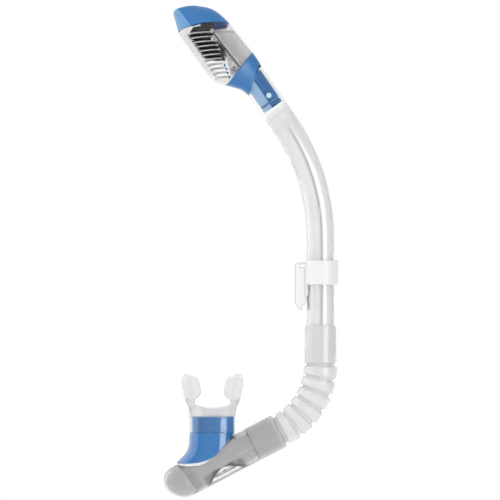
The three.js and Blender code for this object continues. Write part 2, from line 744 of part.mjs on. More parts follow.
const purgeDisc = (r, low, high) => {
  const outward = new THREE.Matrix4().makeRotationY(Math.PI / 2).setPosition(0, 0, PURGE_Z);
  return moved(disc(r, low, high, SMALL_ROUND), outward);
};

// An oval cup with a floor; the floor's round hole is crossed by a spider with a centre boss
function purgeFrame() {
  const { wall, top, floor, floorThick } = PURGE;
  const outline = purgeOval(0, top, 20).intersect(withinChamber(0));
  const below = purgeOval(wall, floor + floorThick, 30);
  const aboveFloor = purgeOval(wall, 0, floor);
  const hole = purgeDisc(PURGE_HOLE_R, 0, 30);
  const spokes = [
    box(floor, floor + floorThick, -PURGE_HOLE_R - 1, PURGE_HOLE_R + 1, PURGE_Z - 1, PURGE_Z + 1),
    box(floor, floor + floorThick, -1, 1, PURGE_Z - PURGE_HOLE_R - 1, PURGE_Z + PURGE_HOLE_R + 1),
    purgeDisc(3, floor, floor + floorThick),
  ];
  const cup = outline.subtract(below).subtract(aboveFloor).subtract(hole);
  const stemHole = purgeDisc(DIAPHRAGM.stem + GAP, 0, 30);
  return spokes.reduce((sum, spoke) => sum.add(spoke), cup).subtract(stemHole);
}

function purgeDiaphragm() {
  const { r, thick, stem, gap } = DIAPHRAGM;
  const low = PURGE.floor + PURGE.floorThick + gap;
  return purgeDisc(r, low, low + thick).add(purgeDisc(stem, PURGE.floor - 0.8, low + 0.2));
}

function purgeCover() {
  const { inside, slots, slotWidth, slotPitch, slotHalf } = PURGE_COVER;
  let cover = purgeOval(PURGE.wall + GAP, inside, 30).intersect(withinChamber(0));
  for (let i = 0; i < slots; i += 1) {
    const y = (i - (slots - 1) / 2) * slotPitch;
    const [y0, y1] = [y - slotWidth / 2, y + slotWidth / 2];
    cover = cover.subtract(box(0, 30, y0, y1, PURGE_Z - slotHalf, PURGE_Z + slotHalf));
  }
  return cover;
}

// ---------------------------------------------------------------- port and mouthpiece

function mouthLoft(stations, inset) {
  const rings = stations.map(([z, left, right, half]) =>
    oval(z, left - inset, right - inset, half - inset, ROUND, 0.9),
  );
  return shifted(loft(rings), MOUTH_X, 0, 0);
}

// The port's airway, which also cuts the chamber's top
function portBore() {
  const reach = 19.9 - PORT_WALL;
  const half = 13.6 - PORT_WALL;
  const rings = [PORT_BOTTOM - 1, PORT_TOP + 2].map((z) => oval(z, reach, reach, half, ROUND, 0.9));
  return shifted(loft(rings), MOUTH_X, 0, 0);
}

const mouthpiecePort = () =>
  mouthLoft(PORT_STATIONS, 0).subtract(chamberCylinder(CHAMBER_R + 1.5)).subtract(portBore());

// A thin saddle between the port's foot and the chamber
function portGasket() {
  const saddle = chamberCylinder(CHAMBER_R + 1.25).subtract(chamberCylinder(CHAMBER_R + 0.25));
  return mouthLoft(PORT_STATIONS.slice(0, 6), 1).intersect(saddle).subtract(portBore());
}

// One bite tab's outline, right of the mouth's axis: outer edge up, over the top, inner edge down
function tabOutline() {
  const tab = new THREE.Shape();
  tab.moveTo(21.5, -119);
  tab.splineThru([
    new THREE.Vector2(25.2, -111),
    new THREE.Vector2(28.2, -98),
    new THREE.Vector2(28.4, -90),
    new THREE.Vector2(26, -87.2),
    new THREE.Vector2(23, -86.8),
    new THREE.Vector2(18.6, -88.9),
    new THREE.Vector2(14.6, -89.6),
    new THREE.Vector2(12.3, -94),
    new THREE.Vector2(10.6, -103.2),
    new THREE.Vector2(12.4, -107.8),
    new THREE.Vector2(15.8, -110.4),
    new THREE.Vector2(16.4, -113),
  ]);
  tab.lineTo(15, -119);
  return tab;
}

function biteTab(side) {
  const blade = plate(tabOutline(), -TAB_HALF, TAB_HALF, 2);
  const { r, x, z, length } = BITE_RIDGE;
  const ridge = solid(new THREE.CapsuleGeometry(r, length, 3, 8).rotateX(Math.PI / 2).translate(x, 0, z));
  const ridges = [-1, 1].map((face) => shifted(ridge, 0, face * TAB_HALF, 0));
  const tab = ridges.reduce((sum, each) => sum.add(each), blade);
  const mirror = new THREE.Matrix4().makeScale(side, 1, 1).setPosition(MOUTH_X, 0, 0);
  return moved(tab, mirror);
}

function mouthpiece() {
  const saddle = crossBar(SADDLE.r, MOUTH_X, SADDLE.low + SADDLE.r, -30, 30, 48);
  const body = mouthLoft(MOUTH_STATIONS, 0).subtract(saddle);
  const airway = mouthLoft(AIRWAY_STATIONS, 0);
  return body.add(biteTab(1)).add(biteTab(-1)).subtract(airway);
}

// ---------------------------------------------------------------- assembly

const snorkel = new THREE.Group();

function placedGroup(matrix, meshes) {
  const group = new THREE.Group();
  group.applyMatrix4(matrix);
  group.add(...meshes);
  snorkel.add(group);
}

const headOuter = headBody(0);
const headInner = headBody(HEAD_WALL);

snorkel.add(
  piece('barrel', barrel(), clearPlastic()),
  piece('keeper', keeper(), whitePlastic()),
  piece('flex_hose', flexHose(), clearSilicone()),
  piece('float_hinge_pin', hingePin(), steel()),
  piece('float_arm', floatArm(), blackPlastic()),
  piece('float_seal', floatSeal(), sealRubber()),
  piece('mouthpiece_port', mouthpiecePort(), bluePlastic()),
  piece('port_gasket', portGasket(), sealRubber()),
  piece('mouthpiece', mouthpiece(), clearSilicone()),
);

placedGroup(headFrame, [
  piece('head_collar', headCollar(headOuter), bluePlastic()),
  piece('head_shell', headShell(headOuter, headInner), clearPlastic()),
  piece('head_cap', headCap(headOuter, headInner), bluePlastic()),
  piece('air_duct', airDuct(), clearPlastic()),
  piece('valve_seat', valveSeat(), clearPlastic()),
  piece('float', floatBlock(), blackFoam()),
]);

placedGroup(topFrame, [piece('spigot_seal', spigotSeal(), sealRubber())]);
placedGroup(buttonFrame(1), [piece('lock_button_near', lockButton(), bluePlastic())]);
placedGroup(buttonFrame(-1), [piece('lock_button_far', lockButton(), bluePlastic())]);

placedGroup(chamberFrame, [
  piece('chamber', chamber(), smokyPlastic()),
  piece('chamber_end_cap', chamberEndCap(), smokyPlastic()),
  piece('end_cap_seal', endCapSeal(), sealRubber()),
  piece('purge_frame', purgeFrame(), smokyPlastic()),
  piece('purge_diaphragm', purgeDiaphragm(), clearSilicone()),
  piece('purge_cover', purgeCover(), smokyPlastic()),
]);

export default snorkel;
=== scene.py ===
# A dry-top snorkel: fine surfaces, procedural materials and a light studio around the CAD frame.
# Shapes are drawn in millimetres, in the frame's own axes, and become metres in piece() and plate().
# The snorkel is symmetrical about the XZ plane; the camera looks along +Y.

import math

import bmesh
import bpy
import numpy as np
from mathutils import Matrix, Vector


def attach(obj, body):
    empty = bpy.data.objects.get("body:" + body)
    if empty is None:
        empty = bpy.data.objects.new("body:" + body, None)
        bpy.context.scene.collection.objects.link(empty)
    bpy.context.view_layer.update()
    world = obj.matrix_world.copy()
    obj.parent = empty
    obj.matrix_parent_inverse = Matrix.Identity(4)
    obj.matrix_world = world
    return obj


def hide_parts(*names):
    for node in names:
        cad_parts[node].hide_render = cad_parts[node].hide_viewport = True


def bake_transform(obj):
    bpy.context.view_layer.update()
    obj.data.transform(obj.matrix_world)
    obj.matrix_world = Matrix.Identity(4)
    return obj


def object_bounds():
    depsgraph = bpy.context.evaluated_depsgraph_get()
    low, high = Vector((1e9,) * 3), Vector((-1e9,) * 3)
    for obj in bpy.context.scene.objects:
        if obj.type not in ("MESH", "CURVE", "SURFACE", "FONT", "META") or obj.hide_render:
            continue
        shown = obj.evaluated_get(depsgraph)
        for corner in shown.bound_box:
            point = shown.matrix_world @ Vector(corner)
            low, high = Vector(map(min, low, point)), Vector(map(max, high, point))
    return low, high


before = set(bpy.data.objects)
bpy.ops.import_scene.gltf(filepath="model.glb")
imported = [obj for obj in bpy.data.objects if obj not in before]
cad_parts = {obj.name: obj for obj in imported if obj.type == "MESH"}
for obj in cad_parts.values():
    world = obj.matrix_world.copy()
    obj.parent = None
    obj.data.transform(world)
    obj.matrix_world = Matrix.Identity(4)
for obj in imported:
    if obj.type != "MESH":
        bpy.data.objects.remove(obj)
cad_low, cad_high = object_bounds()

MM = 0.001

# ---- driving dimensions
# They are the CAD's, but for a thinner skirt, longer purge slots, a trimmed float and the fine trim.

GAP = 0.3  # between touching pieces
BEYOND = 30.0  # past every wall, for cutters

BARREL_X = 13.8
BARREL_R = 12.7
BARREL_WALL = 2.1
BARREL_FOOT = -75.6
BEND_START = 39.0
BEND_R = 184.0
BARREL_LEAN = 34.5
CUFF_RIDGE = {"low": -67.8, "length": 3.0, "r": 13.5}
STOP_NIB = {"z": 59.0, "turn": 17.0, "width": 9.0, "height": 10.0, "proud": 1.7}

HEAD_LEAN = 38.0
HEAD_FOOT = 10.7
HEAD_WALL = 1.6
CREASE = -13.0
# along the head, reach to the back, reach to the front, half width
HEAD_STATIONS = [
    (20, 14.2, 11.6, 12.9), (33, 14.9, 11.0, 12.9), (40, 15.4, 12.8, 13.2),
    (46, 15.8, 16.8, 14.0), (52, 16.3, 21.4, 15.2), (58, 16.7, 25.4, 16.4),
    (64, 16.8, 27.6, 17.4), (72, 16.8, 28.3, 18.0), (94, 16.6, 27.5, 18.0),
    (104, 15.4, 27.0, 17.6), (110, 14.1, 27.0, 16.8), (115, 12.2, 26.6, 15.6),
    (120, 9.0, 25.0, 13.8), (125, 4.4, 22.8, 11.2), (129.5, -0.2, 21.0, 8.4),
    (133.5, -7.0, 19.4, 5.2), (135.9, -12.6, 17.4, 2.0),
]
RIM = {"z": 39.1, "tilt": -30.6}
COLLAR_TOP = {"z": 56.9, "tilt": -14.0}
CAP_ARCH = {"x": -40.4, "z": 41.8, "r": 78.0}
CAP_ROOF = 131.0

SLOTS = 10
SLOT_HEIGHT = 2.4
SLOT_FIRST = {"z": 225.9, "left": -108.6, "right": -86.0}
SLOT_LAST = {"z": 189.6, "left": -84.0, "right": -71.6}
FEET = (6.6, 7.5, 8.4, 9.3)  # places of the blue feet, counted in slots from the top

DUCT = {"front": 1.4, "back": 14.4, "half": 10.5, "wall": 1.2, "foot": 55.5, "reach": 112.0}
DUCT_TOP = 228.5
PIN = {"x": -86.3, "z": 229.8, "r": 1.1, "half": 13.8}
SEAT = {"thick": 1.4, "lip": 0.6, "edge": 1.2, "left": -82, "right": -74.5, "half": 8.2}
# the painted highlight along the duct's front corner, a white rod
HIGHLIGHT_BEAD = {"r": 0.6, "low": 58.0, "high": 96.5}
FILTER_HALF = 9.0
FILTER_WEB = [
    (-1.5, 57), (-1.5, 104), (-4.6, 104), (-4.6, 93), (-3.0, 90), (-1.9, 80), (-6.2, 69.2),
    (-11.5, 58), (-11, 54.8),
]
FLOAT_HALF = 11.3
FLOAT = [
    (-21, 109.4), (-12.4, 112.8), (-6, 109.4), (-6.2, 93), (-4.4, 90),
    (-3.2, 80), (-7.4, 70.8), (-14.6, 75.8), (-22.4, 84.6),
]
HUB_R = 2.2
LUG = {"inner": 4.6, "outer": 7.2}
ARM = {"inner": 11.6, "outer": 13.4, "left": -98}
CARRIER = {"left": -88.4, "right": -70.5, "bottom": 232.5, "thick": 4.6, "half": 11.6}
PAD = {"left": -84.4, "right": -72.6, "bottom": 231.0, "thick": 1.2, "half": 10.6}
VALVE_OPEN = 8

SPIGOT = {"low": 20.3, "high": 60.0, "r": 10.0, "bore": 7.9}
SEAL_GROOVE = {"low": 24.0, "high": 26.4, "floor": 8.7}
BUTTON = {"z": 31.1, "turn": 13.0, "r": 2.5, "flange": 3.4, "in": 6.1, "out": 7.0, "face": 12.5}

KEEPER = {"r": 16.1, "bore": 13.0, "top": 18.5, "bottom": -4.2, "plate": -14.2}
CLIP_HALF = 6.8

HOSE_TOP = 36.6
HOSE_BEND_Z = -78.2
HOSE_R = 68.2
HOSE_TURN = 62.5
HOSE_CUFF = 28.5
RIBS = 6
RIB_R = 15.4
GROOVE_R = 12.7
HOSE_WALL = 1.5
# from a groove's middle to the end of its floor and to the rib's crest, outside and inside
RIB_SIDE = (0.9, 2.2)
RIB_SIDE_INSIDE = (1.4, 3.2)
UPPER_CUFF_R = 14.7
LOWER_CUFF_R = 16.2
CUFF_BORE = 13.1

CHAMBER_R = 16.0
CHAMBER_WALL = 1.8
NECK_TOP = -3.0
NECK_RIDGE = {"low": -11.6, "full": -8.8, "high": -8.0}
NECK_STEP = {"inside": 16.0, "neck": 1.6}  # from the shoulder to the ends of the inner taper
SHOULDER = -28.8
CHAMBER_END = -96.5
DOME_CENTRE = -102.5
END_SLOPE = 0.18
END_JOINT = 1.5
END_RING = {"inner": 14.1, "outer": 15.9, "gap": 0.25, "thick": 1.0}
SKIRT = {"r": 13.9, "wall": 1.0, "length": 7.0}
PURGE = {
    "z": -63.2, "long": 20.7, "half": 14.7, "wall": 1.6, "top": 5.8,
    "floor": 9.0, "floor_end": 10.4, "hole": 9.5, "cover": 13.4,
    "slots": 4, "pitch": 3.6, "slot_width": 1.8, "slot_half": 15.5,
}

MOUTH_X = -86.1
PORT_WALL = 2.2
PORT_TOP = -125.8
PORT_HOLE = {"low": -176.0, "high": -120.0}
SLEEVE = {"long": 19.9, "half": 13.6, "low": -143.0}
MOUTH_BORE = {"long": 10.6, "half": 6.2, "low": -126.0, "high": -98.0}
# height, left reach, right reach, half depth
PORT_STATIONS = [
    (-174, 34.2, 18.4, 16.2), (-170.2, 34.0, 18.8, 16.2), (-166, 30.4, 19.1, 16.1),
    (-161.4, 25.8, 19.3, 15.9), (-153.6, 22.0, 19.6, 15.5), (-147, 21.4, 20.1, 15.2),
    (-140.9, 21.0, 20.4, 15.0),
]
MOUTH_STATIONS = [
    (-140.6, 21.1, 21.1, 15.0), (-133, 21.1, 21.1, 15.0), (-126, 21.1, 21.1, 15.0),
    (-121.5, 21.5, 21.5, 14.8), (-118, 22.3, 22.3, 15.2), (-114.5, 23.5, 23.5, 14.8),
    (-110, 25.0, 25.0, 13.2),
]
SADDLE = {"r": 36.0, "low": -118.4}
TAB_POINTS = [
    (20.5, -121), (25.2, -111), (28.2, -98), (28.4, -90), (26, -87.2), (23, -86.8), (18.6, -88.9),
    (14.6, -89.6), (12.3, -94), (10.6, -103.2), (12.4, -107.8), (15.8, -110.4), (16.4, -113),
    (15.0, -121),
]
TAB_HALF = 2.7
BITE_RIDGE = {"r": 1.2, "x": 20.5, "z": -99.0}

# ---- view and light, in metres

VIEW_WIDTH = 0.4625
CAMERA_DISTANCE = 4.2
VIEW_CENTRE = Vector((-0.0514, 0, 0.02775))
SKY_LOW, SKY_HIGH = 0.80, 1.02
SKY_SIDES = 0.62
FLOOR_HALF = 1.5
FLOOR_DROP = 0.12
LIGHT_DISTANCE = 1.4
# azimuth from the camera's side towards the right, elevation, width, height, radiance, and
# whether only reflections show it
LIGHTS = {
    "left_panel": (-98, 5, 2.2, 2.6, 1.5, True),
    "right_strip": (42, 3, 0.8, 0.9, 5.0, True),
    "key": (-35, 45, 0.8, 0.8, 1.8, False),
}

# ---- frames and outlines


def at(x, z, lean):
    """A frame in the XZ plane, with its origin at (x, 0, z), turned about Y by lean degrees."""
    c, s = math.cos(math.radians(lean)), math.sin(math.radians(lean))
    return np.array([[c, 0, s, x], [0, 1, 0, 0], [-s, 0, c, z], [0, 0, 0, 1.0]])


def about(axis, degrees):
    """A turn about one of the axes, as a 4x4 array."""
    return np.array(Matrix.Rotation(math.radians(degrees), 4, axis))


def bend_point(angle):
    return BARREL_X - BEND_R * (1 - math.cos(angle)), BEND_START + BEND_R * math.sin(angle)


TOP_X, TOP_Z = bend_point(math.radians(BARREL_LEAN))
TOP = at(TOP_X, TOP_Z, -BARREL_LEAN)
HEAD = at(
    TOP_X - HEAD_FOOT * math.sin(math.radians(BARREL_LEAN)),
    TOP_Z + HEAD_FOOT * math.cos(math.radians(BARREL_LEAN)),
    -HEAD_LEAN,
)
CHAMBER = at(
    BARREL_X - HOSE_R * (1 - math.cos(math.radians(HOSE_TURN))),
    HOSE_BEND_Z - HOSE_R * math.sin(math.radians(HOSE_TURN)),
    HOSE_TURN,
)
WORLD = np.eye(4)


def moved(points, matrix):
    points = np.asarray(points, float)
    return points @ matrix[:3, :3].T + matrix[:3, 3]


def interpolated(table, z):
    """Smooth values of a table's other columns at the heights z."""
    rows = np.array(table, float)
    heights = rows[:, 0]
    slopes = np.gradient(rows, heights, axis=0)
    z = np.clip(np.atleast_1d(z), heights[0], heights[-1])
    i = np.clip(np.searchsorted(heights, z) - 1, 0, len(heights) - 2)
    step = (heights[i + 1] - heights[i])[:, None]
    t = (z[:, None] - heights[i][:, None]) / step
    left, right = rows[i], rows[i + 1]
    return (
        left * (1 + 2 * t) * (1 - t) ** 2
        + right * t * t * (3 - 2 * t)
        + slopes[i] * step * t * (1 - t) ** 2
        - slopes[i + 1] * step * t * t * (1 - t)
    )[:, 1:]


def quarter(start, tip, half, taper, power, count):
    """Points at equal steps from the widest place, at x = start, out to the tip on the axis."""
    u = np.sin(np.linspace(0, math.pi / 2, 300))
    x = start + (tip - start) * u
    y = half * (1 - taper * u) * np.sqrt(1 - u**power)
    length = np.concatenate([[0], np.cumsum(np.hypot(np.diff(x), np.diff(y)))])
    where = np.linspace(0, length[-1], count + 1)
    return np.interp(where, length, x), np.interp(where, length, y)


def closed_outline(front, back):
    """One closed outline from two quarters: front tip, near side, back tip, far side."""
    x = np.concatenate([front[0][::-1], back[0][1:]])
    y = np.concatenate([front[1][::-1], back[1][1:]])
    return np.concatenate([x, x[-2:0:-1]]), np.concatenate([-y, y[-2:0:-1]])


def egg(left, right, half, power=2.2, count=40):
    """A closed outline with its own reach to the left and to the right."""
    return closed_outline(
        quarter(0, -left, half, 0, power, count), quarter(0, right, half, 0, power, count)
    )


def oval(reach, half, inset=0.0, power=2.2, count=32):
    """An oval outline, the same at every height."""
    return lambda z: egg(reach - inset, reach - inset, half - inset, power, count)


# ---- bodies that a wall can follow


class Body:
    """An upright body: a closed outline at every height, and a place on it for each column."""

    def __init__(self, outline, low, high, levels):
        self.heights = np.linspace(low, high, levels)
        pairs = [outline(z) for z in self.heights]
        self.x = np.array([p[0] for p in pairs])
        self.y = np.array([p[1] for p in pairs])
        dx = np.roll(self.x, -1, 1) - np.roll(self.x, 1, 1)
        dy = np.roll(self.y, -1, 1) - np.roll(self.y, 1, 1)
        size = np.maximum(np.hypot(dx, dy), 1e-9)
        self.nx, self.ny = dy / size, -dx / size
        self.columns = self.x.shape[1]

    def ring(self, z, inset):
        """One ring at height z, a number or one for each column, moved inwards by inset."""
        z = np.broadcast_to(np.asarray(z, float), (self.columns,))
        step = self.heights[1] - self.heights[0]
        k = np.clip((z - self.heights[0]) / step, 0, len(self.heights) - 1.001)
        i = k.astype(int)
        f = k - i
        c = np.arange(self.columns)
        x, y, nx, ny = (
            a[i, c] * (1 - f) + a[i + 1, c] * f for a in (self.x, self.y, self.nx, self.ny)
        )
        return np.stack([x - nx * inset, y - ny * inset, z], 1)

    def meet(self, surface):
        """The height at which each column meets a surface, given as a function z(x, y)."""
        z = np.full(self.columns, self.heights.mean())
        for _ in range(60):
            p = self.ring(z, 0)
            z = 0.5 * z + 0.5 * np.clip(surface(p[:, 0], p[:, 1]), self.heights[0], self.heights[-1])
        return z


def station_body(table, levels):
    """A body with an egg-shaped outline, from a table of height, reaches and half depth."""
    return Body(lambda z: egg(*interpolated(table, z)[0]), table[0][0], table[-1][0], levels)


class Tube:
    """The barrel: rings along its centre line. z is the distance along it from the foot."""

    columns = 96

    def __init__(self, r):
        self.r = r
        self.foot = BEND_START - BARREL_FOOT
        self.arc = BEND_R * math.radians(BARREL_LEAN)
        angle = 2 * math.pi * np.arange(self.columns) / self.columns
        self.across, self.through = np.cos(angle), np.sin(angle)

    def ring(self, z, inset):
        s = np.broadcast_to(np.asarray(z, float), (self.columns,))
        turn = np.clip((s - self.foot) / BEND_R, 0, math.radians(BARREL_LEAN))
        beyond = np.maximum(s - self.foot - self.arc, 0)
        below = np.maximum(self.foot - s, 0)
        r = self.r - inset
        x = BARREL_X - BEND_R * (1 - np.cos(turn)) - beyond * np.sin(turn)
        height = BEND_START + BEND_R * np.sin(turn) - below + beyond * np.cos(turn)
        x = x + r * self.across * np.cos(turn)
        height = height + r * self.across * np.sin(turn)
        return np.stack([x, r * self.through, height], 1)

    def meet_plane(self, point, normal):
        s = np.full(self.columns, self.foot + self.arc + 30)
        lean = math.radians(BARREL_LEAN)
        along = np.array([-math.sin(lean), 0, math.cos(lean)])
        for _ in range(4):
            s = s - ((self.ring(s, 0) - point) @ normal) / (along @ normal)
        return s


def corner(rim):
    """How far each ring that rounds a rim lies inwards, and how far from the end."""
    return [(rim, 0.0), (rim * 0.29, rim * 0.29), (0.0, rim)]


def wall(body, low, high, thick, rows, rim=0.35, start=0.0):
    """A closed wall of that thickness, from start inwards, with rounded rims: a loop of rings."""
    low, high = np.broadcast_to(low, body.columns), np.broadcast_to(high, body.columns)
    share = np.linspace(0, 1, rows)
    between = [low + rim + (high - low - 2 * rim) * t for t in share[1:-1]]
    end = start + thick
    rings = [body.ring(low + d, start + i) for i, d in corner(rim)]
    rings += [body.ring(z, start) for z in between]
    rings += [body.ring(high - d, start + i) for i, d in reversed(corner(rim))]
    rings += [body.ring(high - d, end - i) for i, d in corner(rim)]
    rings += [body.ring(z, end) for z in reversed(between)]
    return rings + [body.ring(low + d, end - i) for i, d in reversed(corner(rim))]


def block(body, low, high, rows, rim=0.35):
    """A closed solid between two heights, with rounded rims: rings from end to end."""
    low, high = np.broadcast_to(low, body.columns), np.broadcast_to(high, body.columns)
    share = np.linspace(0, 1, rows)
    rings = [body.ring(low + d, i) for i, d in corner(rim)]
    rings += [body.ring(low + rim + (high - low - 2 * rim) * t, 0) for t in share[1:-1]]
    return rings + [body.ring(high - d, i) for i, d in reversed(corner(rim))]


def arc_point(start, control, end, t):
    """The point at share t of a curve that leaves start and reaches end towards the control."""
    a, b, c = (np.array(p, float) for p in (start, control, end))
    return a * (1 - t) ** 2 + b * 2 * t * (1 - t) + c * t * t


def rounded(profile, r, loop=True, steps=3):
    """A profile of [radius, height] points with each corner rounded to r or less."""
    points = [np.array(p, float) for p in profile]
    count = len(points)
    made = []
    for i, p in enumerate(points):
        if not loop and i in (0, count - 1):
            made.append(p)
            continue
        before, after = points[i - 1] - p, points[(i + 1) % count] - p
        near, far = np.linalg.norm(before), np.linalg.norm(after)
        cut = min(r, 0.45 * near, 0.45 * far)
        a, b = p + before / near * cut, p + after / far * cut
        made += [arc_point(a, p, b, t) for t in np.linspace(0, 1, steps + 1)]
    return made


def band(inner, outer, low, high):
    """The profile of a plain ring."""
    return [[inner, low], [outer, low], [outer, high], [inner, high]]


def turned(profile, sides=96):
    """Rings of a turned piece from its profile of [radius, height] points."""
    angle = 2 * math.pi * np.arange(sides) / sides
    unit = np.stack([np.cos(angle), np.sin(angle), np.zeros(sides)], 1)
    return [unit * max(p[0], 0.01) + np.array([0, 0, p[1]]) for p in profile]


# ---- meshes


def finished_mesh(mesh, crease=50):
    """Merges doubles, turns the faces outwards and shades smooth up to the crease angle."""
    work = bmesh.new()
    work.from_mesh(mesh)
    bmesh.ops.remove_doubles(work, verts=work.verts, dist=2e-6)
    bmesh.ops.dissolve_degenerate(work, edges=work.edges, dist=1e-6)
    bmesh.ops.recalc_face_normals(work, faces=work.faces)
    work.to_mesh(mesh)
    work.free()
    mesh.polygons.foreach_set("use_smooth", [True] * len(mesh.polygons))
    mesh.set_sharp_from_angle(angle=math.radians(crease))
    mesh.update()


def linked(name, data):
    """An object of that mesh, camera or light, in the scene."""
    obj = bpy.data.objects.new(name, data)
    bpy.context.scene.collection.objects.link(obj)
    return obj


def piece(name, skins, matrix=WORLD, crease=50):
    """A mesh object from skins, each (rings, loop): a loop of rings, or rings with closed ends."""
    points, faces = [], []
    for rings, loop in skins:
        rings = np.asarray(rings, float)
        rows, columns = rings.shape[:2]
        first = sum(len(p) for p in points)
        index = np.arange(rows * columns).reshape(rows, columns) + first
        for r in range(rows if loop else rows - 1):
            a, b = index[r], index[(r + 1) % rows]
            for i in range(columns):
                j = (i + 1) % columns
                faces.append((a[i], a[j], b[j], b[i]))
        if not loop:
            faces.append(tuple(index[0][::-1]))
            faces.append(tuple(index[-1]))
        points.append(rings.reshape(-1, 3))
    mesh = bpy.data.meshes.new(name)
    faces = [[int(v) for v in face] for face in faces]
    mesh.from_pydata(moved(np.concatenate(points), matrix) * MM, [], faces)
    finished_mesh(mesh, crease)
    return linked(name, mesh)


def plate(name, outline, y0, y1, matrix=WORLD, soft=0.5):
    """A flat outline of (x, z) points given thickness along Y, with its edges rounded."""
    work = bmesh.new()
    corners = [work.verts.new((x, y0, z)) for x, z in outline]
    face = work.faces.new(corners)
    made = bmesh.ops.extrude_face_region(work, geom=[face])
    for v in made["geom"]:
        if isinstance(v, bmesh.types.BMVert):
            v.co.y = y1
    bmesh.ops.recalc_face_normals(work, faces=work.faces)
    if soft:
        rims = [e for e in work.edges if abs(e.verts[0].co.y - e.verts[1].co.y) < 1e-6]
        bmesh.ops.bevel(work, geom=rims, offset=soft, segments=3, profile=0.5, affect="EDGES")
    mesh = bpy.data.meshes.new(name)
    work.to_mesh(mesh)
    work.free()
    mesh.transform(Matrix(matrix.tolist()))
    mesh.transform(Matrix.Scale(MM, 4))
    finished_mesh(mesh)
    return linked(name, mesh)


def box(name, x0, x1, z0, z1, half, matrix=WORLD, soft=0.5):
    """A box in the frame, from -half to half along Y."""
    return plate(name, [(x0, z0), (x1, z0), (x1, z1), (x0, z1)], -half, half, matrix, soft)


def combine(obj, others, operation, crease=50):
    """Joins other solids to obj or cuts them out of it, and keeps the result as its mesh."""
    for other in others:
        step = obj.modifiers.new(operation.lower(), "BOOLEAN")
        step.operation = operation
        step.solver = "EXACT"
        step.object = other
    depsgraph = bpy.context.evaluated_depsgraph_get()
    mesh = bpy.data.meshes.new_from_object(obj.evaluated_get(depsgraph))
    obj.modifiers.clear()
    obj.data = mesh
    for other in others:
        bpy.data.objects.remove(other)
    finished_mesh(mesh, crease)
    return obj


def cut(obj, *others, crease=50):
    return combine(obj, others, "DIFFERENCE", crease)


def join(obj, *others):
    return combine(obj, others, "UNION")


def rod(name, r, low, high, matrix, sides=48, soft=0.0):
    """A round rod along the frame's z, with an optional rounded edge."""
    profile = band(0, r, low, high)
    path = rounded(profile, soft, loop=False) if soft else profile
    return piece(name, [(turned(path, sides), False)], matrix)


def cross_bar(name, r, x, z, half, sides=48):
    """A round bar along Y through (x, z), from -half to half."""
    return rod(name, r, -half, half, at(x, z, 0) @ about("X", 90), sides)


def column(name, outline, low, high, matrix):
    """A plain straight solid of one outline."""
    body = Body(outline, low, high, 2)
    return piece(name, [([body.ring(low, 0), body.ring(high, 0)], False)], matrix)


def paint(obj, material):
    obj.data.materials.clear()
    obj.data.materials.append(material)


def dress(obj, material, body, slot, *nodes):
    """Gives a piece its material and its body, and hides the nodes it stands for. The slot is not used.
    """
    paint(obj, material)
    if nodes:
        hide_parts(*nodes)
    if body:
        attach(obj, body)
    return obj


def second_skin(obj, material, matrix, chosen):
    """Gives a second material to the faces that a rule picks by centre and normal in that frame."""
    obj.data.materials.append(material)
    axes, origin = matrix[:3, :3], matrix[:3, 3]
    for face in obj.data.polygons:
        centre = (np.array(face.center) / MM - origin) @ axes
        normal = np.array(face.normal) @ axes
        face.material_index = int(chosen(centre, normal))


# ---- materials


def fill(tree, made, **values):
    """Gives a node its settings, and its inputs plain values or other nodes' sockets."""
    for key, value in values.items():
        if hasattr(made, key):
            setattr(made, key, value)
        elif isinstance(value, bpy.types.NodeSocket):
            tree.links.new(value, made.inputs[key.replace("_", " ")])
        else:
            made.inputs[key.replace("_", " ")].default_value = value
    return made


def shader(name, **values):
    """A new material with a Principled shader."""
    material = bpy.data.materials.new(name)
    material.use_nodes = True
    tree = material.node_tree
    return material, tree, fill(tree, tree.nodes["Principled BSDF"], **values)


def node(tree, kind, **values):
    return fill(tree, tree.nodes.new(kind), **values)


def place(tree):
    """Coordinates in millimetres of the piece's own frame at rest."""
    coords = node(tree, "ShaderNodeTexCoord").outputs["Object"]
    sized = node(tree, "ShaderNodeVectorMath", operation="SCALE", Vector=coords, Scale=1 / MM)
    return sized.outputs[0]


def noise(tree, where, scale, detail=4.0, roughness=0.5):
    made = node(tree, "ShaderNodeTexNoise", Vector=where, Scale=scale)
    return fill(tree, made, Detail=detail, Roughness=roughness).outputs["Fac"]


def ranged(tree, value, low, high, to_low, to_high):
    """A value carried from one range to another, and held at its ends."""
    made = node(tree, "ShaderNodeMapRange", Value=value, From_Min=low, From_Max=high)
    return fill(tree, made, To_Min=to_low, To_Max=to_high).outputs["Result"]


def worked(tree, operation, *values):
    """One step of arithmetic on sockets."""
    made = node(tree, "ShaderNodeMath", operation=operation)
    for value, socket in zip(values, made.inputs):
        tree.links.new(value, socket)
    return made.outputs[0]


def mixed(tree, factor, first, second):
    """A colour between two, by a factor; each may be a colour or a socket."""
    made = tree.nodes.new("ShaderNodeMix")
    made.data_type = "RGBA"
    tree.links.new(factor, made.inputs["Factor"])
    for key, value in ((6, first), (7, second)):
        if isinstance(value, tuple):
            made.inputs[key].default_value = (*value, 1.0)
        else:
            tree.links.new(value, made.inputs[key])
    return made.outputs[2]


def bumped(tree, height, strength, distance):
    """A normal that follows a height."""
    made = node(tree, "ShaderNodeBump", Height=height, Strength=strength, Distance=distance)
    return made.outputs["Normal"]


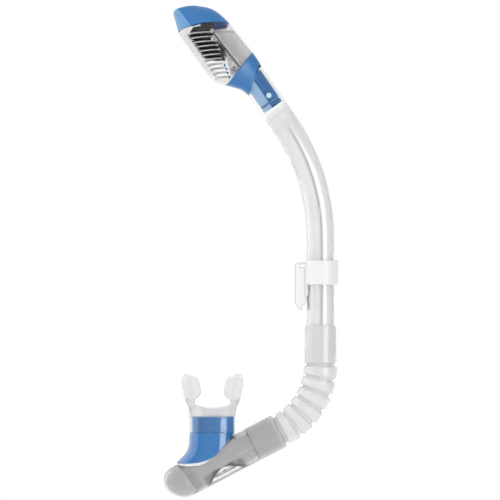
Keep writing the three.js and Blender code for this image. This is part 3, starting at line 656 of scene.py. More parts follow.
def glassy(name, colour, rough_low, rough_high, ior, tint, density, clear, shine=1.0, ripple=0.05):
    """Clear or milky plastic or silicone: faint flow marks, fine scuffs, and a grey edge."""
    material, tree, principled = shader(
        name, Base_Color=(*colour, 1.0), Transmission_Weight=clear, IOR=ior,
        Specular_Tint=(shine, shine, shine, 1.0),
    )
    where = place(tree)
    gloss = ranged(tree, noise(tree, where, 0.9, 8.0, 0.7), 0.35, 0.7, rough_low, rough_high)
    flow = ranged(tree, noise(tree, where, 0.045, 2.0, 0.4), 0.0, 1.0, 0.0, ripple)
    fill(tree, principled, Roughness=gloss, Normal=bumped(tree, flow, 1.0, 0.001))
    # absorption inside the plastic greys its long edges
    volume = node(tree, "ShaderNodeVolumeAbsorption", Color=(*tint, 1.0), Density=density)
    fill(tree, tree.nodes["Material Output"], Volume=volume.outputs["Volume"])
    return material


def moulded(name, colour, deep, roughness, grain=0.05, coat=0.0, mottle=0.5, cloud=0.12, **values):
    """Opaque moulded plastic or rubber: slight mottling, fine grain and uneven gloss."""
    material, tree, principled = shader(name, Coat_Weight=coat, Coat_Roughness=0.06, **values)
    where = place(tree)
    clouds = ranged(tree, noise(tree, where, cloud, 3.0), 0.3, 0.7, 0.0, mottle)
    speckle = noise(tree, where, 5.0, 6.0, 0.65)
    gloss = ranged(tree, speckle, 0.3, 0.7, roughness * 0.8, roughness * 1.25)
    tint = mixed(tree, clouds, colour, deep)
    normal = bumped(tree, speckle, grain, 0.0002)
    fill(tree, principled, Base_Color=tint, Roughness=gloss, Normal=normal)
    return material


def side_of(tree, matrix, limit, soft, before, after):
    """One value where x is below the limit in that frame, at rest, and another beyond it."""
    across = node(tree, "ShaderNodeVectorMath", operation="DOT_PRODUCT")
    across.inputs[1].default_value = matrix[:3, 0]
    tree.links.new(place(tree), across.inputs[0])
    edge = matrix[:3, 3] @ matrix[:3, 0] + limit
    return ranged(tree, across.outputs["Value"], edge - soft, edge + soft, before, after)


def cleared(material, matrix, limit, before, after, soft=1.0):
    """Two degrees of clearness, on the two sides of x = limit in that frame."""
    tree = material.node_tree
    weight = tree.nodes["Principled BSDF"].inputs["Transmission Weight"]
    tree.links.new(side_of(tree, matrix, limit, soft, before, after), weight)
    return material


def toned(material, colour, *planes):
    """Another colour where x is below the limit in each (frame, limit, softness) at rest."""
    tree = material.node_tree
    principled = tree.nodes["Principled BSDF"]
    factor, *more = [side_of(tree, *plane, 1.0, 0.0) for plane in planes]
    for inside in more:
        factor = worked(tree, "MULTIPLY", factor, inside)
    base = principled.inputs["Base Color"]
    plain = base.links[0].from_socket if base.is_linked else tuple(base.default_value[:3])
    tree.links.new(mixed(tree, factor, plain, colour), base)


def blue_plastic(name, roughness, coat):
    return moulded(name, (0.016, 0.160, 0.43), (0.012, 0.142, 0.39), roughness, 0.04, coat)


def clear_plastic(name, shine):
    """Milky along the barrel, and clear where the spigot shows through it."""
    material = glassy(name, (0.97, 0.97, 0.975), 0.02, 0.06, 1.5, (0.84, 0.86, 0.88), 14, 1.0, shine)
    return cleared(material, TOP @ at(0, 15, 90), 0.0, 1.0, 0.72, 4.0)


CLEAR_PLASTIC = clear_plastic("clear_polycarbonate", 1.0)
CLEAREST_PLASTIC = clear_plastic("clearest_polycarbonate", 0.25)
SHELL_PLASTIC = glassy(
    "clear_shell", (0.90, 0.90, 0.905), 0.02, 0.05, 1.4, (0.76, 0.77, 0.78), 50, 0.98, 0.25
)
SMOKY_PLASTIC = glassy(
    "smoky_polycarbonate", (0.68, 0.685, 0.69), 0.03, 0.08, 1.5, (0.6, 0.61, 0.62), 30, 0.9, 0.6, 0.08
)
PURGE_PLASTIC = glassy(
    "purge_polycarbonate", (0.84, 0.845, 0.85), 0.03, 0.08, 1.5, (0.7, 0.71, 0.72), 30, 0.7, 0.6, 0.08
)
CLEAR_SILICONE = glassy(
    "clear_silicone", (0.97, 0.97, 0.975), 0.12, 0.24, 1.41, (0.84, 0.86, 0.86), 10, 0.55, 1.0, 0.1
)
# painted shade: the lower cuff, over the chamber's neck, is a darker grey
toned(CLEAR_SILICONE, (0.66, 0.665, 0.67), (CHAMBER @ at(0, 0, -90), -2.0, 5.0))
MOUTH_SILICONE = glassy(
    "mouthpiece_silicone", (0.87, 0.875, 0.88), 0.04, 0.10, 1.35, (0.8, 0.82, 0.82), 10, 1.0, 0.3, 0.1
)
cleared(MOUTH_SILICONE, at(0, PORT_TOP, 90), 0.0, 0.62, 0.99)
toned(MOUTH_SILICONE, (0.94, 0.98, 1.0), (at(0, PORT_TOP, -90), 0.0, 0.5))
# grey for the painted dark reflection along the barrel's camera-facing wall
BARREL_DARK_REFLECTION = moulded("painted_dark_reflection", (0.50, 0.50, 0.51), (0.42, 0.42, 0.43), 0.4, 0.1)
DUCT_PLASTIC = moulded(
    "duct_plastic", (0.78, 0.78, 0.785), (0.70, 0.70, 0.705), 0.3, 0.3, Transmission_Weight=0.25
)
# painted light and shade: the duct and its seat fade from grey at the front to near white towards the
# head's back
toned(DUCT_PLASTIC, (0.98, 0.98, 0.98), (HEAD @ about("Z", 180), -8.0, 5.0))
# painted light: the louvres are real, but their opaque light grey stands in for the light that the clear
# slats catch
BLADE_PLASTIC = moulded("louvre_plastic", (0.70, 0.71, 0.72), (0.62, 0.63, 0.64), 0.3, 0.1)
WEB_PLASTIC = moulded(
    "filter_web", (0.20, 0.20, 0.20), (0.98, 0.98, 0.98), 0.4, 1.0, mottle=1.4, cloud=0.6
)
BLUE_PLASTIC = blue_plastic("blue_plastic", 0.16, 0.6)
COLLAR_PLASTIC = blue_plastic("collar_plastic", 0.38, 0.1)
CAP_PLASTIC = blue_plastic("cap_plastic", 0.38, 0.1)
# painted light: the cap's face beyond the crease, turned to the left, is a lighter blue, as if lit from
# that side
toned(CAP_PLASTIC, (0.11, 0.29, 0.56), (HEAD, CREASE, 0.15))
SPIGOT_PLASTIC = blue_plastic("spigot_plastic", 0.38, 0.0)
# painted reflection: the spigot's left side is a pale blue, standing in for a light reflection on the
# barrel over it
toned(SPIGOT_PLASTIC, (0.40, 0.64, 0.95), (TOP, -1.0, 0.3))
toned(
    SPIGOT_PLASTIC, (0.01, 0.05, 0.2),
    (TOP @ at(0, 22.2, -90) @ at(0, 0, 12), 0.0, 0.2), (TOP @ about("Z", 180), 0.8, 0.3),
)
PALE_BLUE = moulded("pale_blue_plastic", (0.50, 0.72, 0.92), (0.44, 0.68, 0.90), 0.22, 0.04, 0.6)
NAVY = moulded(
    "navy_rubber", (0.008, 0.055, 0.22), (0.006, 0.04, 0.17), 0.35, 0.2, Specular_IOR_Level=0.2
)
# white for the painted highlight rods on the duct's front corners
HIGHLIGHT_WHITE = moulded("white_plastic", (0.92, 0.92, 0.925), (0.88, 0.88, 0.89), 0.35, 0.06)
KEEPER_PLASTIC = moulded(
    "keeper_plastic", (0.85, 0.85, 0.855), (0.81, 0.81, 0.82), 0.35, 0.06, Specular_IOR_Level=0.3
)
# painted light: the clip's tongue is a plain lighter tone than the band
toned(KEEPER_PLASTIC, (0.86, 0.86, 0.86), (WORLD, -0.6, 0.3))
# dark grey painted shade for the clip's edges
KEEPER_EDGE_SHADE = moulded("keeper_painted_edge_shade", (0.30, 0.30, 0.31), (0.27, 0.27, 0.28), 0.35, 0.06)
# near black painted shadow for the walls of the purge valve's recess
RECESS_SHADOW = moulded("recess_painted_shadow", (0.10, 0.10, 0.11), (0.08, 0.08, 0.09), 0.35, 0.06)
BLACK_FOAM = moulded(
    "black_foam", (0.003, 0.003, 0.0035), (0.006, 0.006, 0.007), 0.5, 0.5, Specular_IOR_Level=0.15
)
BLACK_PLASTIC = moulded(
    "black_plastic", (0.004, 0.004, 0.005), (0.007, 0.007, 0.008), 0.35, 0.1, Specular_IOR_Level=0.2
)
BLUE_RUBBER = moulded("blue_rubber", (0.16, 0.30, 0.52), (0.14, 0.27, 0.48), 0.5, 0.2)
RING_RUBBER = moulded("ring_rubber", (0.52, 0.53, 0.54), (0.46, 0.47, 0.48), 0.5, 0.3)
GREY_RUBBER = moulded("grey_rubber", (0.80, 0.81, 0.82), (0.72, 0.73, 0.74), 0.5, 0.3)
STEEL = moulded("hinge_steel", (0.62, 0.62, 0.64), (0.5, 0.5, 0.52), 0.28, 0.2, Metallic=1.0)

# ---- camera


def make_camera():
    data = bpy.data.cameras.new("camera")
    data.sensor_width = 36.0
    data.lens = 36.0 * CAMERA_DISTANCE / VIEW_WIDTH
    data.clip_start, data.clip_end = 0.1, 100
    camera = linked("camera", data)
    camera.location = VIEW_CENTRE - Vector((0, CAMERA_DISTANCE, 0))
    camera.rotation_euler = (math.radians(90), 0, 0)
    bpy.context.scene.camera = camera


make_camera()

# ---- barrel and keeper


def make_barrel():
    tube = Tube(BARREL_R)
    rim = HEAD @ at(0, RIM["z"] - GAP / 2, RIM["tilt"])
    top = tube.meet_plane(rim[:3, 3], rim[:3, 2])
    obj = piece("barrel_tube", [(wall(tube, 0.0, top, BARREL_WALL, 90), True)])
    low, high, r = CUFF_RIDGE["low"], CUFF_RIDGE["low"] + CUFF_RIDGE["length"], CUFF_RIDGE["r"]
    root = BARREL_R - 0.6
    ridge = rounded([[root, low], [BARREL_R, low], [r, low + 0.8], [r, high], [root, high]], 0.3)
    join(obj, piece("ridge", [(turned(ridge), True)], at(BARREL_X, 0, 0)), make_stop_nib())
    return cut(obj, *button_holes(8, 16))


def make_stop_nib():
    nib = STOP_NIB
    root = BARREL_R - 1.2
    crest = BARREL_R + nib["proud"]
    outline = [(root, 0), (crest - 0.3, 0), (crest, 0.4)]
    outline += [(BARREL_R + 0.2, nib["height"]), (root, nib["height"])]
    lean = math.asin((nib["z"] - BEND_START) / BEND_R)
    x, z = bend_point(lean)
    matrix = at(x, z, -math.degrees(lean)) @ about("Z", -90 - nib["turn"])
    return plate("nib", outline, -nib["width"] / 2, nib["width"] / 2, matrix, 0.4)


def button_frame(side):
    """The frame of a lock button: its z is radial, on the near side for 1, the far side for -1."""
    height = np.eye(4)
    height[2, 3] = BUTTON["z"]
    return TOP @ height @ about("Z", side * BUTTON["turn"]) @ about("X", side * 90)


def button_holes(low, high):
    """Two rods that cut the lock buttons' holes, between two distances from the tube's axis."""
    r = BUTTON["r"] + GAP
    return [rod("hole", r, low, high, button_frame(side)) for side in (1, -1)]


def curve_points(start, control, end):
    """Seven points of a curve that starts and ends towards the control point."""
    return [tuple(arc_point(start, control, end, t)) for t in np.linspace(0, 1, 7)]


def clip_outline():
    """The clip from the side: back plate, bridge over the top, tongue and its hooked toe."""
    outline = [(2.5, 16.2)]
    outline += curve_points((-5.2, 16.2), (-9.6, 16.2), (-9.6, 11.8))
    outline += curve_points((-9.6, -20.4), (-9.2, -25.2), (-4.2, -27.8))
    outline += [(-3.0, -26.4)]
    outline += curve_points((-3.6, -23.6), (0.4, -22.8), (0.7, -15.8))
    outline += [(-1.0, -15.8), (-1.0, 11.6), (-5.6, 11.6), (-5.6, 14.6), (0, 14.6)]
    return outline + [(0, KEEPER["plate"]), (2.5, KEEPER["plate"])]


def make_keeper():
    profile = rounded(band(5, KEEPER["r"], KEEPER["bottom"], KEEPER["top"]), 1.6, steps=5)
    keeper = piece("keeper_band", [(turned(profile, 128), True)], at(BARREL_X, 0, 0))
    cut(keeper, box("flat", -BEYOND, 0, -BEYOND, BEYOND, BEYOND, soft=0))
    join(keeper, plate("clip", clip_outline(), -CLIP_HALF, CLIP_HALF, soft=0.6))
    return cut(keeper, rod("bore", KEEPER["bore"], -BEYOND, BEYOND, at(BARREL_X, 0, 0), 128))


def above_foot(centre, _normal):
    """What lies above the frame's origin."""
    return centre[2] > 0


def clip_edge(centre, normal):
    """The thin edges of the strap clip, all round its outline, which get painted shade."""
    return centre[0] < -0.3 and abs(normal[1]) < 0.93


def make_dark_reflection_strip():
    """A painted dark reflection: a grey strip inside the barrel's near wall, where it faces the camera,
    along its whole length.
    """
    tube = Tube(BARREL_R)
    near = [tube.columns * 3 // 4, tube.columns * 3 // 4 + 2]
    rings = []
    for s in np.linspace(8, tube.foot + tube.arc - 4, 90):
        outer, inner = tube.ring(s, 0.5)[near], tube.ring(s, 1.2)[near]
        rings.append(np.concatenate([outer, inner[::-1]]))
    return piece("barrel_dark_reflection_strip", [(rings, False)])


barrel = dress(make_barrel(), CLEAR_PLASTIC, "barrel", "clear_plastic", "barrel")
second_skin(barrel, CLEAREST_PLASTIC, TOP, above_foot)
# the barrel's painted dark reflection, a grey strip beside its highlight
dress(make_dark_reflection_strip(), BARREL_DARK_REFLECTION, "barrel", "clear_plastic", "barrel")
keeper = dress(make_keeper(), KEEPER_PLASTIC, "keeper", "white_plastic", "keeper")
# painted shade on the clip's edges, as grey outlines
second_skin(keeper, KEEPER_EDGE_SHADE, WORLD, clip_edge)

# ---- head


def head_outline(z):
    back, front, half = interpolated(HEAD_STATIONS, z)[0]
    crease = min(max(CREASE, -0.6 * front), back - 0.35 * (back + front))
    return closed_outline(
        quarter(crease, -front, half, 0.3, 5, 30), quarter(crease, back, half, 0, 2.6, 34)
    )


HEAD_BODY = Body(head_outline, HEAD_STATIONS[0][0], HEAD_STATIONS[-1][0], 240)


def seam(line, offset):
    """Heights of a tilted seam round the head, raised by the offset."""
    slope = math.tan(math.radians(line["tilt"]))
    return HEAD_BODY.meet(lambda x, y: line["z"] + offset - x * slope)


def arch(offset):
    """Heights of the arched seam below the cap, grown by the offset."""
    r = CAP_ARCH["r"] + offset
    return HEAD_BODY.meet(lambda x, y: CAP_ARCH["z"] + np.sqrt(r * r - (x - CAP_ARCH["x"]) ** 2))


def slot_line(index):
    """Height, left end and right end of a louvre slot, in the frame's own axes."""
    t = index / (SLOTS - 1)
    return [SLOT_FIRST[k] + (SLOT_LAST[k] - SLOT_FIRST[k]) * t for k in ("z", "left", "right")]


def slot_cutter(index):
    """A slot with round ends, a little fuller in the middle, through both sides."""
    z, left, right = slot_line(index)
    middle, reach = (left + right) / 2, (right - left) / 2
    outline = []
    for t in np.linspace(0, 2 * math.pi, 40, endpoint=False):
        dx = math.copysign(abs(math.cos(t)) ** 0.45, math.cos(t))
        dz = math.copysign(abs(math.sin(t)) ** 0.75, math.sin(t))
        sag = 0.5 * (dx * dx) - 0.25
        outline.append((middle + reach * dx, z + SLOT_HEIGHT / 2 * dz + sag))
    return plate("slot", outline, -BEYOND, BEYOND, soft=0)


def make_shell():
    rings = wall(HEAD_BODY, seam(COLLAR_TOP, GAP / 2), arch(-GAP / 2), HEAD_WALL, 44)
    obj = piece("head_shell_clear", [(rings, True)], HEAD)
    cutters = [slot_cutter(i) for i in range(SLOTS)]
    return cut(obj, *cutters, crease=40)


def blade_outline(z, left, right):
    """A louvre blade between two slots: thick and hooked down at the left, thin at the right."""
    upper, lower = [], []
    for t in np.linspace(0, 1, 14):
        x = left + (right - left) * t
        centre = z + 0.9 * t - 1.5 * (1 - t) ** 3
        half = (0.32 + 0.36 * (1 - t)) * min(1.0, 0.25 + 9 * t)
        upper.append((x, centre + half))
        lower.append((x, centre - half))
    return upper + lower[::-1]


def make_louvres():
    """Blades between the slots, and the pegs at their right ends, on the shell's inside."""
    rings = wall(HEAD_BODY, seam(COLLAR_TOP, 3), arch(-1.5), 0.8, 44, 0.2, 1.5)
    liner = piece("louvre_blades", [(rings, True)], HEAD)
    blades = []
    for i in range(SLOTS + 1):
        z, left, right = slot_line(i - 0.5)
        outline = blade_outline(z, left - 0.5, right - 0.3)
        blades.append(plate("blade", outline, -BEYOND, BEYOND, soft=0))
    for i in range(1, 5):
        z, _, right = slot_line(i - 0.5)
        blades.append(cross_bar("peg", 0.9, right + 0.5, z + 0.8, BEYOND, 20))
    first = join(blades[0], *blades[1:])
    return combine(liner, [first], "INTERSECT", 40)


def make_feet():
    """The blue feet between the lower louvres, on both sides, at their right ends."""
    feet = []
    for i in FEET:
        z, _, right = slot_line(i)
        for side in (1, -1):
            foot = at(right + 0.6, z - 0.6, 20) @ about("X", side * 90)
            feet.append(rod("louvre_feet", 0.8, 12.6, 14.6, foot, 20, 0.3))
    return join(feet[0], *feet[1:])


def make_cap():
    low = arch(GAP / 2)
    tip = HEAD_STATIONS[-1][0]
    share = np.linspace(0, 1, 46)
    outer = [HEAD_BODY.ring(low + (tip - low) * t, 0) for t in share]
    inner = [HEAD_BODY.ring(low + (CAP_ROOF - low) * t, HEAD_WALL) for t in share[::-1]]
    # one closed wall: from the roof inside, down, round the rim, and up to the tip outside
    rim = [HEAD_BODY.ring(low, HEAD_WALL - 0.3), HEAD_BODY.ring(low, 0.3)]
    return piece("head_cap_blue", [(inner + rim + outer, False)], HEAD, crease=35)


def make_collar():
    rings = block(HEAD_BODY, seam(RIM, GAP / 2), seam(COLLAR_TOP, -GAP / 2), 24, 0.3)
    return piece("head_collar_blue", [(rings, False)], HEAD, crease=40)


def make_spigot():
    r, bore = SPIGOT["r"], SPIGOT["bore"]
    groove = band(r, SEAL_GROOVE["floor"], SEAL_GROOVE["low"], SEAL_GROOVE["high"])
    low, high = SPIGOT["low"], SPIGOT["high"]
    profile = [[bore, low], [r, low], *groove, [r, high], [bore, high]]
    obj = piece("head_spigot", [(turned(rounded(profile, 0.3)), True)], TOP)
    return cut(obj, *button_holes(3, 11))


dress(make_shell(), SHELL_PLASTIC, "barrel", "clear_plastic", "head_shell")
dress(make_louvres(), BLADE_PLASTIC, "barrel", "clear_plastic", "head_shell")
dress(make_feet(), BLUE_PLASTIC, "barrel", "blue_plastic")
dress(make_cap(), CAP_PLASTIC, "barrel", "blue_plastic", "head_cap")
dress(make_collar(), COLLAR_PLASTIC, "barrel", "blue_plastic", "head_collar")
dress(make_spigot(), SPIGOT_PLASTIC, "barrel", "blue_plastic", "head_collar")

# ---- duct and float valve


def duct_outline(z):
    """The duct's boxy oval, kept inside the head's back wall."""
    head_back, _, head_half = interpolated(HEAD_STATIONS, z)[0]
    front, back = -DUCT["front"], min(DUCT["back"], head_back - 2.0)
    middle, reach = (front + back) / 2, (back - front) / 2
    turn = np.linspace(0, math.pi, 41)
    x = middle - reach * np.sign(np.cos(turn)) * np.abs(np.cos(turn)) ** 0.5
    y = DUCT["half"] * np.sin(turn) ** 0.45
    along = np.clip((x - CREASE) / (head_back - CREASE), 0, 1)
    y = np.minimum(y, np.maximum(head_half * np.sqrt(1 - along**2.6) - 2.0, 0))
    return np.concatenate([x, x[-2:0:-1]]), np.concatenate([-y, y[-2:0:-1]])


DUCT_BODY = Body(duct_outline, DUCT["foot"], DUCT["reach"], 80)


def level(z):
    """The height in the head's frame of a level plane at height z in the world."""
    lean = math.radians(HEAD_LEAN)
    return lambda x, y: (z - HEAD[2, 3] - x * math.sin(lean)) / math.cos(lean)


def hub(name, r, side, y0, y1):
    """A round boss around the pin, on one side."""
    return rod(name, r, side * y0, side * y1, at(PIN["x"], PIN["z"], 0) @ about("X", -90), 40)


def make_duct():
    high = DUCT_BODY.meet(level(DUCT_TOP))
    skin = wall(DUCT_BODY, DUCT["foot"], high, DUCT["wall"], 30, 0.2)
    duct = piece("air_duct_clear", [(skin, True)], HEAD)
    x, z, inner, outer = PIN["x"], PIN["z"], LUG["inner"], LUG["outer"]
    outline = [(x, z - HUB_R), (x + 6, z - HUB_R), (x + 6, DUCT_TOP), (x, DUCT_TOP)]
    for side in (1, -1):
        web = plate("web", outline, *sorted((side * inner, side * outer)), soft=0)
        join(duct, web, hub("hub", HUB_R, side, inner, outer))
    return cut(duct, cross_bar("pin_hole", PIN["r"] + 0.1, x, z, BEYOND))


def make_highlight_bead(side):
    """A painted highlight: a white rod along the duct's front corner."""
    edge = np.eye(4)
    edge[:3, 3] = (0.3, -side * (DUCT["half"] + 0.2), 0)
    return rod("duct_painted_highlight", HIGHLIGHT_BEAD["r"], HIGHLIGHT_BEAD["low"], HIGHLIGHT_BEAD["high"], HEAD @ edge, 16)


def make_filter_web():
    """The grained panel on the duct's front, behind the float."""
    return plate("filter_web", FILTER_WEB, -FILTER_HALF, FILTER_HALF, HEAD, 0.4)


def make_seat():
    low = DUCT_TOP + GAP
    high = low + SEAT["thick"]
    left, right, half, edge = SEAT["left"], SEAT["right"], SEAT["half"], SEAT["edge"]
    rings = block(DUCT_BODY, DUCT_BODY.meet(level(low)), DUCT_BODY.meet(level(high)), 5, 0.15)
    slab = piece("valve_seat_fine", [(rings, False)], HEAD)
    lip = box("lip", left - edge, right + edge, high - 0.5, high + SEAT["lip"], half + edge, soft=0.2)
    join(slab, lip)
    return cut(slab, box("opening", left, right, low - 5, high + 5, half, soft=0))


SWING = at(PIN["x"], PIN["z"], -VALVE_OPEN) @ at(-PIN["x"], -PIN["z"], 0)


def within_head(obj, inset=HEAD_WALL + 1, top=120):
    """Keeps what lies inside the head's body, reduced by inset."""
    rings = [HEAD_BODY.ring(z, inset) for z in np.linspace(30, top, 70)]
    return combine(obj, [piece("room", [(rings, False)], HEAD)], "INTERSECT")


def make_float():
    foam = plate("float_block", FLOAT, -FLOAT_HALF, FLOAT_HALF, HEAD, 1.2)
    return within_head(foam, HEAD_WALL + 3.4, 118)


def make_arms():
    low, high = CARRIER["bottom"], CARRIER["bottom"] + CARRIER["thick"]
    x, z, left = PIN["x"], PIN["z"], ARM["left"]
    outline = [
        (left, z - 7), (left + 5, z - 8), (x + HUB_R, z - HUB_R), (x + HUB_R, low),
        (x + HUB_R, high), (CARRIER["left"], high), (left + 2, high), (left, z - 1),
    ]
    near = plate("float_arms", outline, -ARM["outer"], -ARM["inner"], SWING, 0.3)
    join(near, plate("far", outline, ARM["inner"], ARM["outer"], SWING, 0.3))
    within_head(near)
    return cut(near, cross_bar("hole", PIN["r"] + 0.15, x, z, BEYOND))


def make_lever_box(name, size, soft):
    """The seal's carrier or its pad, a box on the float's lever."""
    low, high = size["bottom"], size["bottom"] + size["thick"]
    return within_head(box(name, size["left"], size["right"], low, high, size["half"], SWING, soft))


def make_pin():
    pin = cross_bar("hinge_pin", PIN["r"], PIN["x"], PIN["z"], PIN["half"], 32)
    for side in (1, -1):
        join(pin, hub("head", 2.0, side, PIN["half"] - 0.4, PIN["half"]))
    return pin


dress(make_duct(), DUCT_PLASTIC, "barrel", "clear_plastic", "air_duct")
# white rods as painted highlights along the duct's front corners
for side in (1, -1):
    dress(make_highlight_bead(side), HIGHLIGHT_WHITE, "barrel", "clear_plastic", "air_duct")
dress(make_filter_web(), WEB_PLASTIC, "barrel", "clear_plastic", "air_duct")
dress(make_seat(), DUCT_PLASTIC, "barrel", "clear_plastic", "valve_seat")
dress(make_pin(), STEEL, "barrel", "hinge_steel", "float_hinge_pin")
dress(make_float(), BLACK_FOAM, "float_lever", "black_foam", "float")
dress(make_arms(), BLACK_PLASTIC, "float_lever", "black_plastic", "float_arm")
dress(make_lever_box("seal_carrier", CARRIER, 0.5), NAVY, "float_lever", "black_plastic", "float_arm")
dress(make_lever_box("float_pad", PAD, 0.3), NAVY, "float_lever", "black_rubber", "float_seal")

# ---- lock buttons


def make_button(node_name, side):
    b = BUTTON
    profile = [
        [0, b["in"]], [b["flange"], b["in"]], [b["flange"], b["out"]], [b["r"], b["out"]],
        [b["r"], b["face"] - 0.1], [b["r"] - 0.9, b["face"]], [0, b["face"]],
    ]
    rings = turned(rounded(profile, 0.35, loop=False), 48)
    return piece(f"{node_name}_fine", [(rings, False)], button_frame(side))


for end, side in (("near", 1), ("far", -1)):
    name = f"lock_button_{end}"
    dress(make_button(name, side), PALE_BLUE, f"{end}_button", "pale_blue_plastic", name)

# ---- flexible hose


def bent(points):
    """Bends straight rings below z = 0 about an axis at x = -HOSE_R, through the hose's turn."""
    p = np.asarray(points, float).copy()
    turn = math.radians(HOSE_TURN)
    x, z = p[..., 0].copy(), p[..., 2].copy()
    below = z < 0
    angle = np.clip(-z / HOSE_R, 0, turn)
    beyond = np.maximum(-z - HOSE_R * turn, 0)
    p[..., 0] = np.where(below, (HOSE_R + x) * np.cos(angle) - HOSE_R - beyond * np.sin(angle), x)
    p[..., 2] = np.where(below, -(HOSE_R + x) * np.sin(angle) - beyond * np.cos(angle), z)
    return p


def hose_profile():
    """The hose drawn straight: down its outside from the top, and back up its inside."""
    last = -HOSE_R * math.radians(HOSE_TURN)
    pitch = -last / RIBS
    end = last - HOSE_CUFF
    bore, rib_bore = GROOVE_R - HOSE_WALL, RIB_R - HOSE_WALL
    ridge = CUFF_RIDGE["r"] + GAP
    foot = BARREL_FOOT - HOSE_BEND_Z
    floor, crest = RIB_SIDE
    in_floor, in_crest = RIB_SIDE_INSIDE
    outer = [[CUFF_BORE, HOSE_TOP], [13.6, HOSE_TOP], [14.4, HOSE_TOP - 4.5]]
    outer += [[UPPER_CUFF_R, 10], [UPPER_CUFF_R, 2]]
    inner = []
    for i in range(RIBS):
        z, below = -i * pitch, -(i + 1) * pitch
        outer += [[GROOVE_R, z + floor], [GROOVE_R, z - floor]]
        outer += [[RIB_R, z - crest], [RIB_R, below + crest]]
        inner += [[bore, z - in_floor], [rib_bore, z - in_crest]]
        inner += [[rib_bore, below + in_crest], [bore, below + in_floor]]
    outer += [[GROOVE_R, last + floor], [GROOVE_R, last - floor]]
    outer += [[LOWER_CUFF_R, last - crest], [LOWER_CUFF_R, end]]
    lower = [
        [CUFF_BORE, end], [CUFF_BORE, last - 12.2], [ridge, last - 12.2], [ridge, last - 7.6],
        [CUFF_BORE, last - 7.6], [CUFF_BORE, last - 2.6], [bore, last - 2.6],
    ]
    upper = [
        [bore, foot - 0.6], [CUFF_BORE, foot - 0.6], [CUFF_BORE, foot + 7.6], [ridge, foot + 7.6],
        [ridge, foot + 12.4], [CUFF_BORE, foot + 12.4],
    ]
    return outer + lower + inner[::-1] + upper


def refined(profile, longest):
    """A closed profile with extra points, so that no step is longer than that."""
    made = []
    for a, b in zip(profile, profile[1:] + profile[:1]):
        steps = max(1, math.ceil(np.hypot(*(np.array(b) - a)) / longest))
        made += [np.array(a) + (np.array(b) - a) * k / steps for k in range(steps)]
    return made


def make_hose():
    profile = refined(rounded(hose_profile(), 0.9, steps=4), 3.0)
    rings = bent(turned(profile, 96))
    return piece("flex_hose_ribbed", [(rings, True)], at(BARREL_X, HOSE_BEND_Z, 0), crease=60)


hose = dress(make_hose(), CLEAR_SILICONE, None, "clear_silicone", "flex_hose")
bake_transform(hose)

# ---- lower chamber


# from the chamber's axis, through the purge valve's middle, to the underside
PURGE_FRAME = CHAMBER @ at(0, PURGE["z"], 90)
PORT_FRAME = at(MOUTH_X, 0, 0)


def purge_oval(inset):
    return oval(PURGE["long"], PURGE["half"], inset, 2.0)


def recess_wall(centre, normal):
    """The walls of the recess that the purge valve sits in, which get painted shadow."""
    inside = abs(centre[0]) < PURGE["long"] + 1 and abs(centre[1]) < PURGE["half"] + 1
    return inside and centre[2] > PURGE["top"] - 1 and abs(normal[2]) < 0.2


def under_chamber(x, y):
    """How far the chamber's outside lies from its axis, under a point (x, y) of the oval."""
    return np.sqrt(np.maximum(CHAMBER_R**2 - y * y, 1.0))


def leaned(rings, below=0.0):
    """Leans the end of a straight piece of the chamber, all below that height."""
    p = np.array(rings, float)
    p[..., 2] += np.where(p[..., 2] < below, END_SLOPE * p[..., 0], 0)
    return p


def make_chamber():
    inner, neck, ridge = CHAMBER_R - CHAMBER_WALL, BARREL_R - BARREL_WALL, CUFF_RIDGE["r"]
    foot = NECK_RIDGE["low"]
    profile = [
        [neck, NECK_TOP], [BARREL_R, NECK_TOP], [BARREL_R, NECK_RIDGE["high"]],
        [ridge, NECK_RIDGE["full"]], [ridge, foot], [BARREL_R, foot],
        [BARREL_R, SHOULDER], [CHAMBER_R, SHOULDER], [CHAMBER_R, CHAMBER_END], [inner, CHAMBER_END],
        [inner, SHOULDER - NECK_STEP["inside"]], [neck, SHOULDER + NECK_STEP["neck"]],
    ]
    rings = leaned(turned(rounded(profile, 0.2), 128), CHAMBER_END + 1)
    obj = piece("chamber_tube", [(rings, True)], CHAMBER)
    recess = column("recess", purge_oval(-GAP), PURGE["top"] - GAP, BEYOND, PURGE_FRAME)
    bore = oval(SLEEVE["long"], SLEEVE["half"], PORT_WALL)
    return cut(obj, recess, column("hole", bore, PORT_HOLE["low"], PORT_HOLE["high"], PORT_FRAME))


def make_end_cap():
    inner, face = CHAMBER_R - CHAMBER_WALL, CHAMBER_END - END_JOINT
    angles = np.linspace(0, math.pi / 2, 20)
    outer_dome = [[CHAMBER_R * math.cos(a), DOME_CENTRE - CHAMBER_R * math.sin(a)] for a in angles]
    inner_dome = [[inner * math.cos(a), DOME_CENTRE - inner * math.sin(a)] for a in angles]
    rim = rounded([inner_dome[0], [inner, face], [CHAMBER_R, face], outer_dome[0]], 0.15, loop=False)
    profile = inner_dome[::-1] + rim[1:-1] + outer_dome
    return piece("chamber_end_dome", [(leaned(turned(profile, 128)), False)], CHAMBER)


def end_ring(name, inner, outer, low, high, soft, sides):
    """A ring round the chamber's axis that leans as its end does."""
    profile = rounded(band(inner, outer, low, high), soft)
    return piece(name, [(leaned(turned(profile, sides)), True)], CHAMBER)


def make_end_skirt():
    """The dome's inner skirt, which plugs into the chamber."""
    inner, low, high = SKIRT["r"] - SKIRT["wall"], CHAMBER_END - END_JOINT, CHAMBER_END + SKIRT["length"]
    return end_ring("chamber_end_skirt", inner, SKIRT["r"], low, high, 0.4, 128)


def make_end_seal():
    high = CHAMBER_END - END_RING["gap"]
    low = high - END_RING["thick"]
    return end_ring("end_cap_ring", END_RING["inner"], END_RING["outer"], low, high, 0.3, 96)


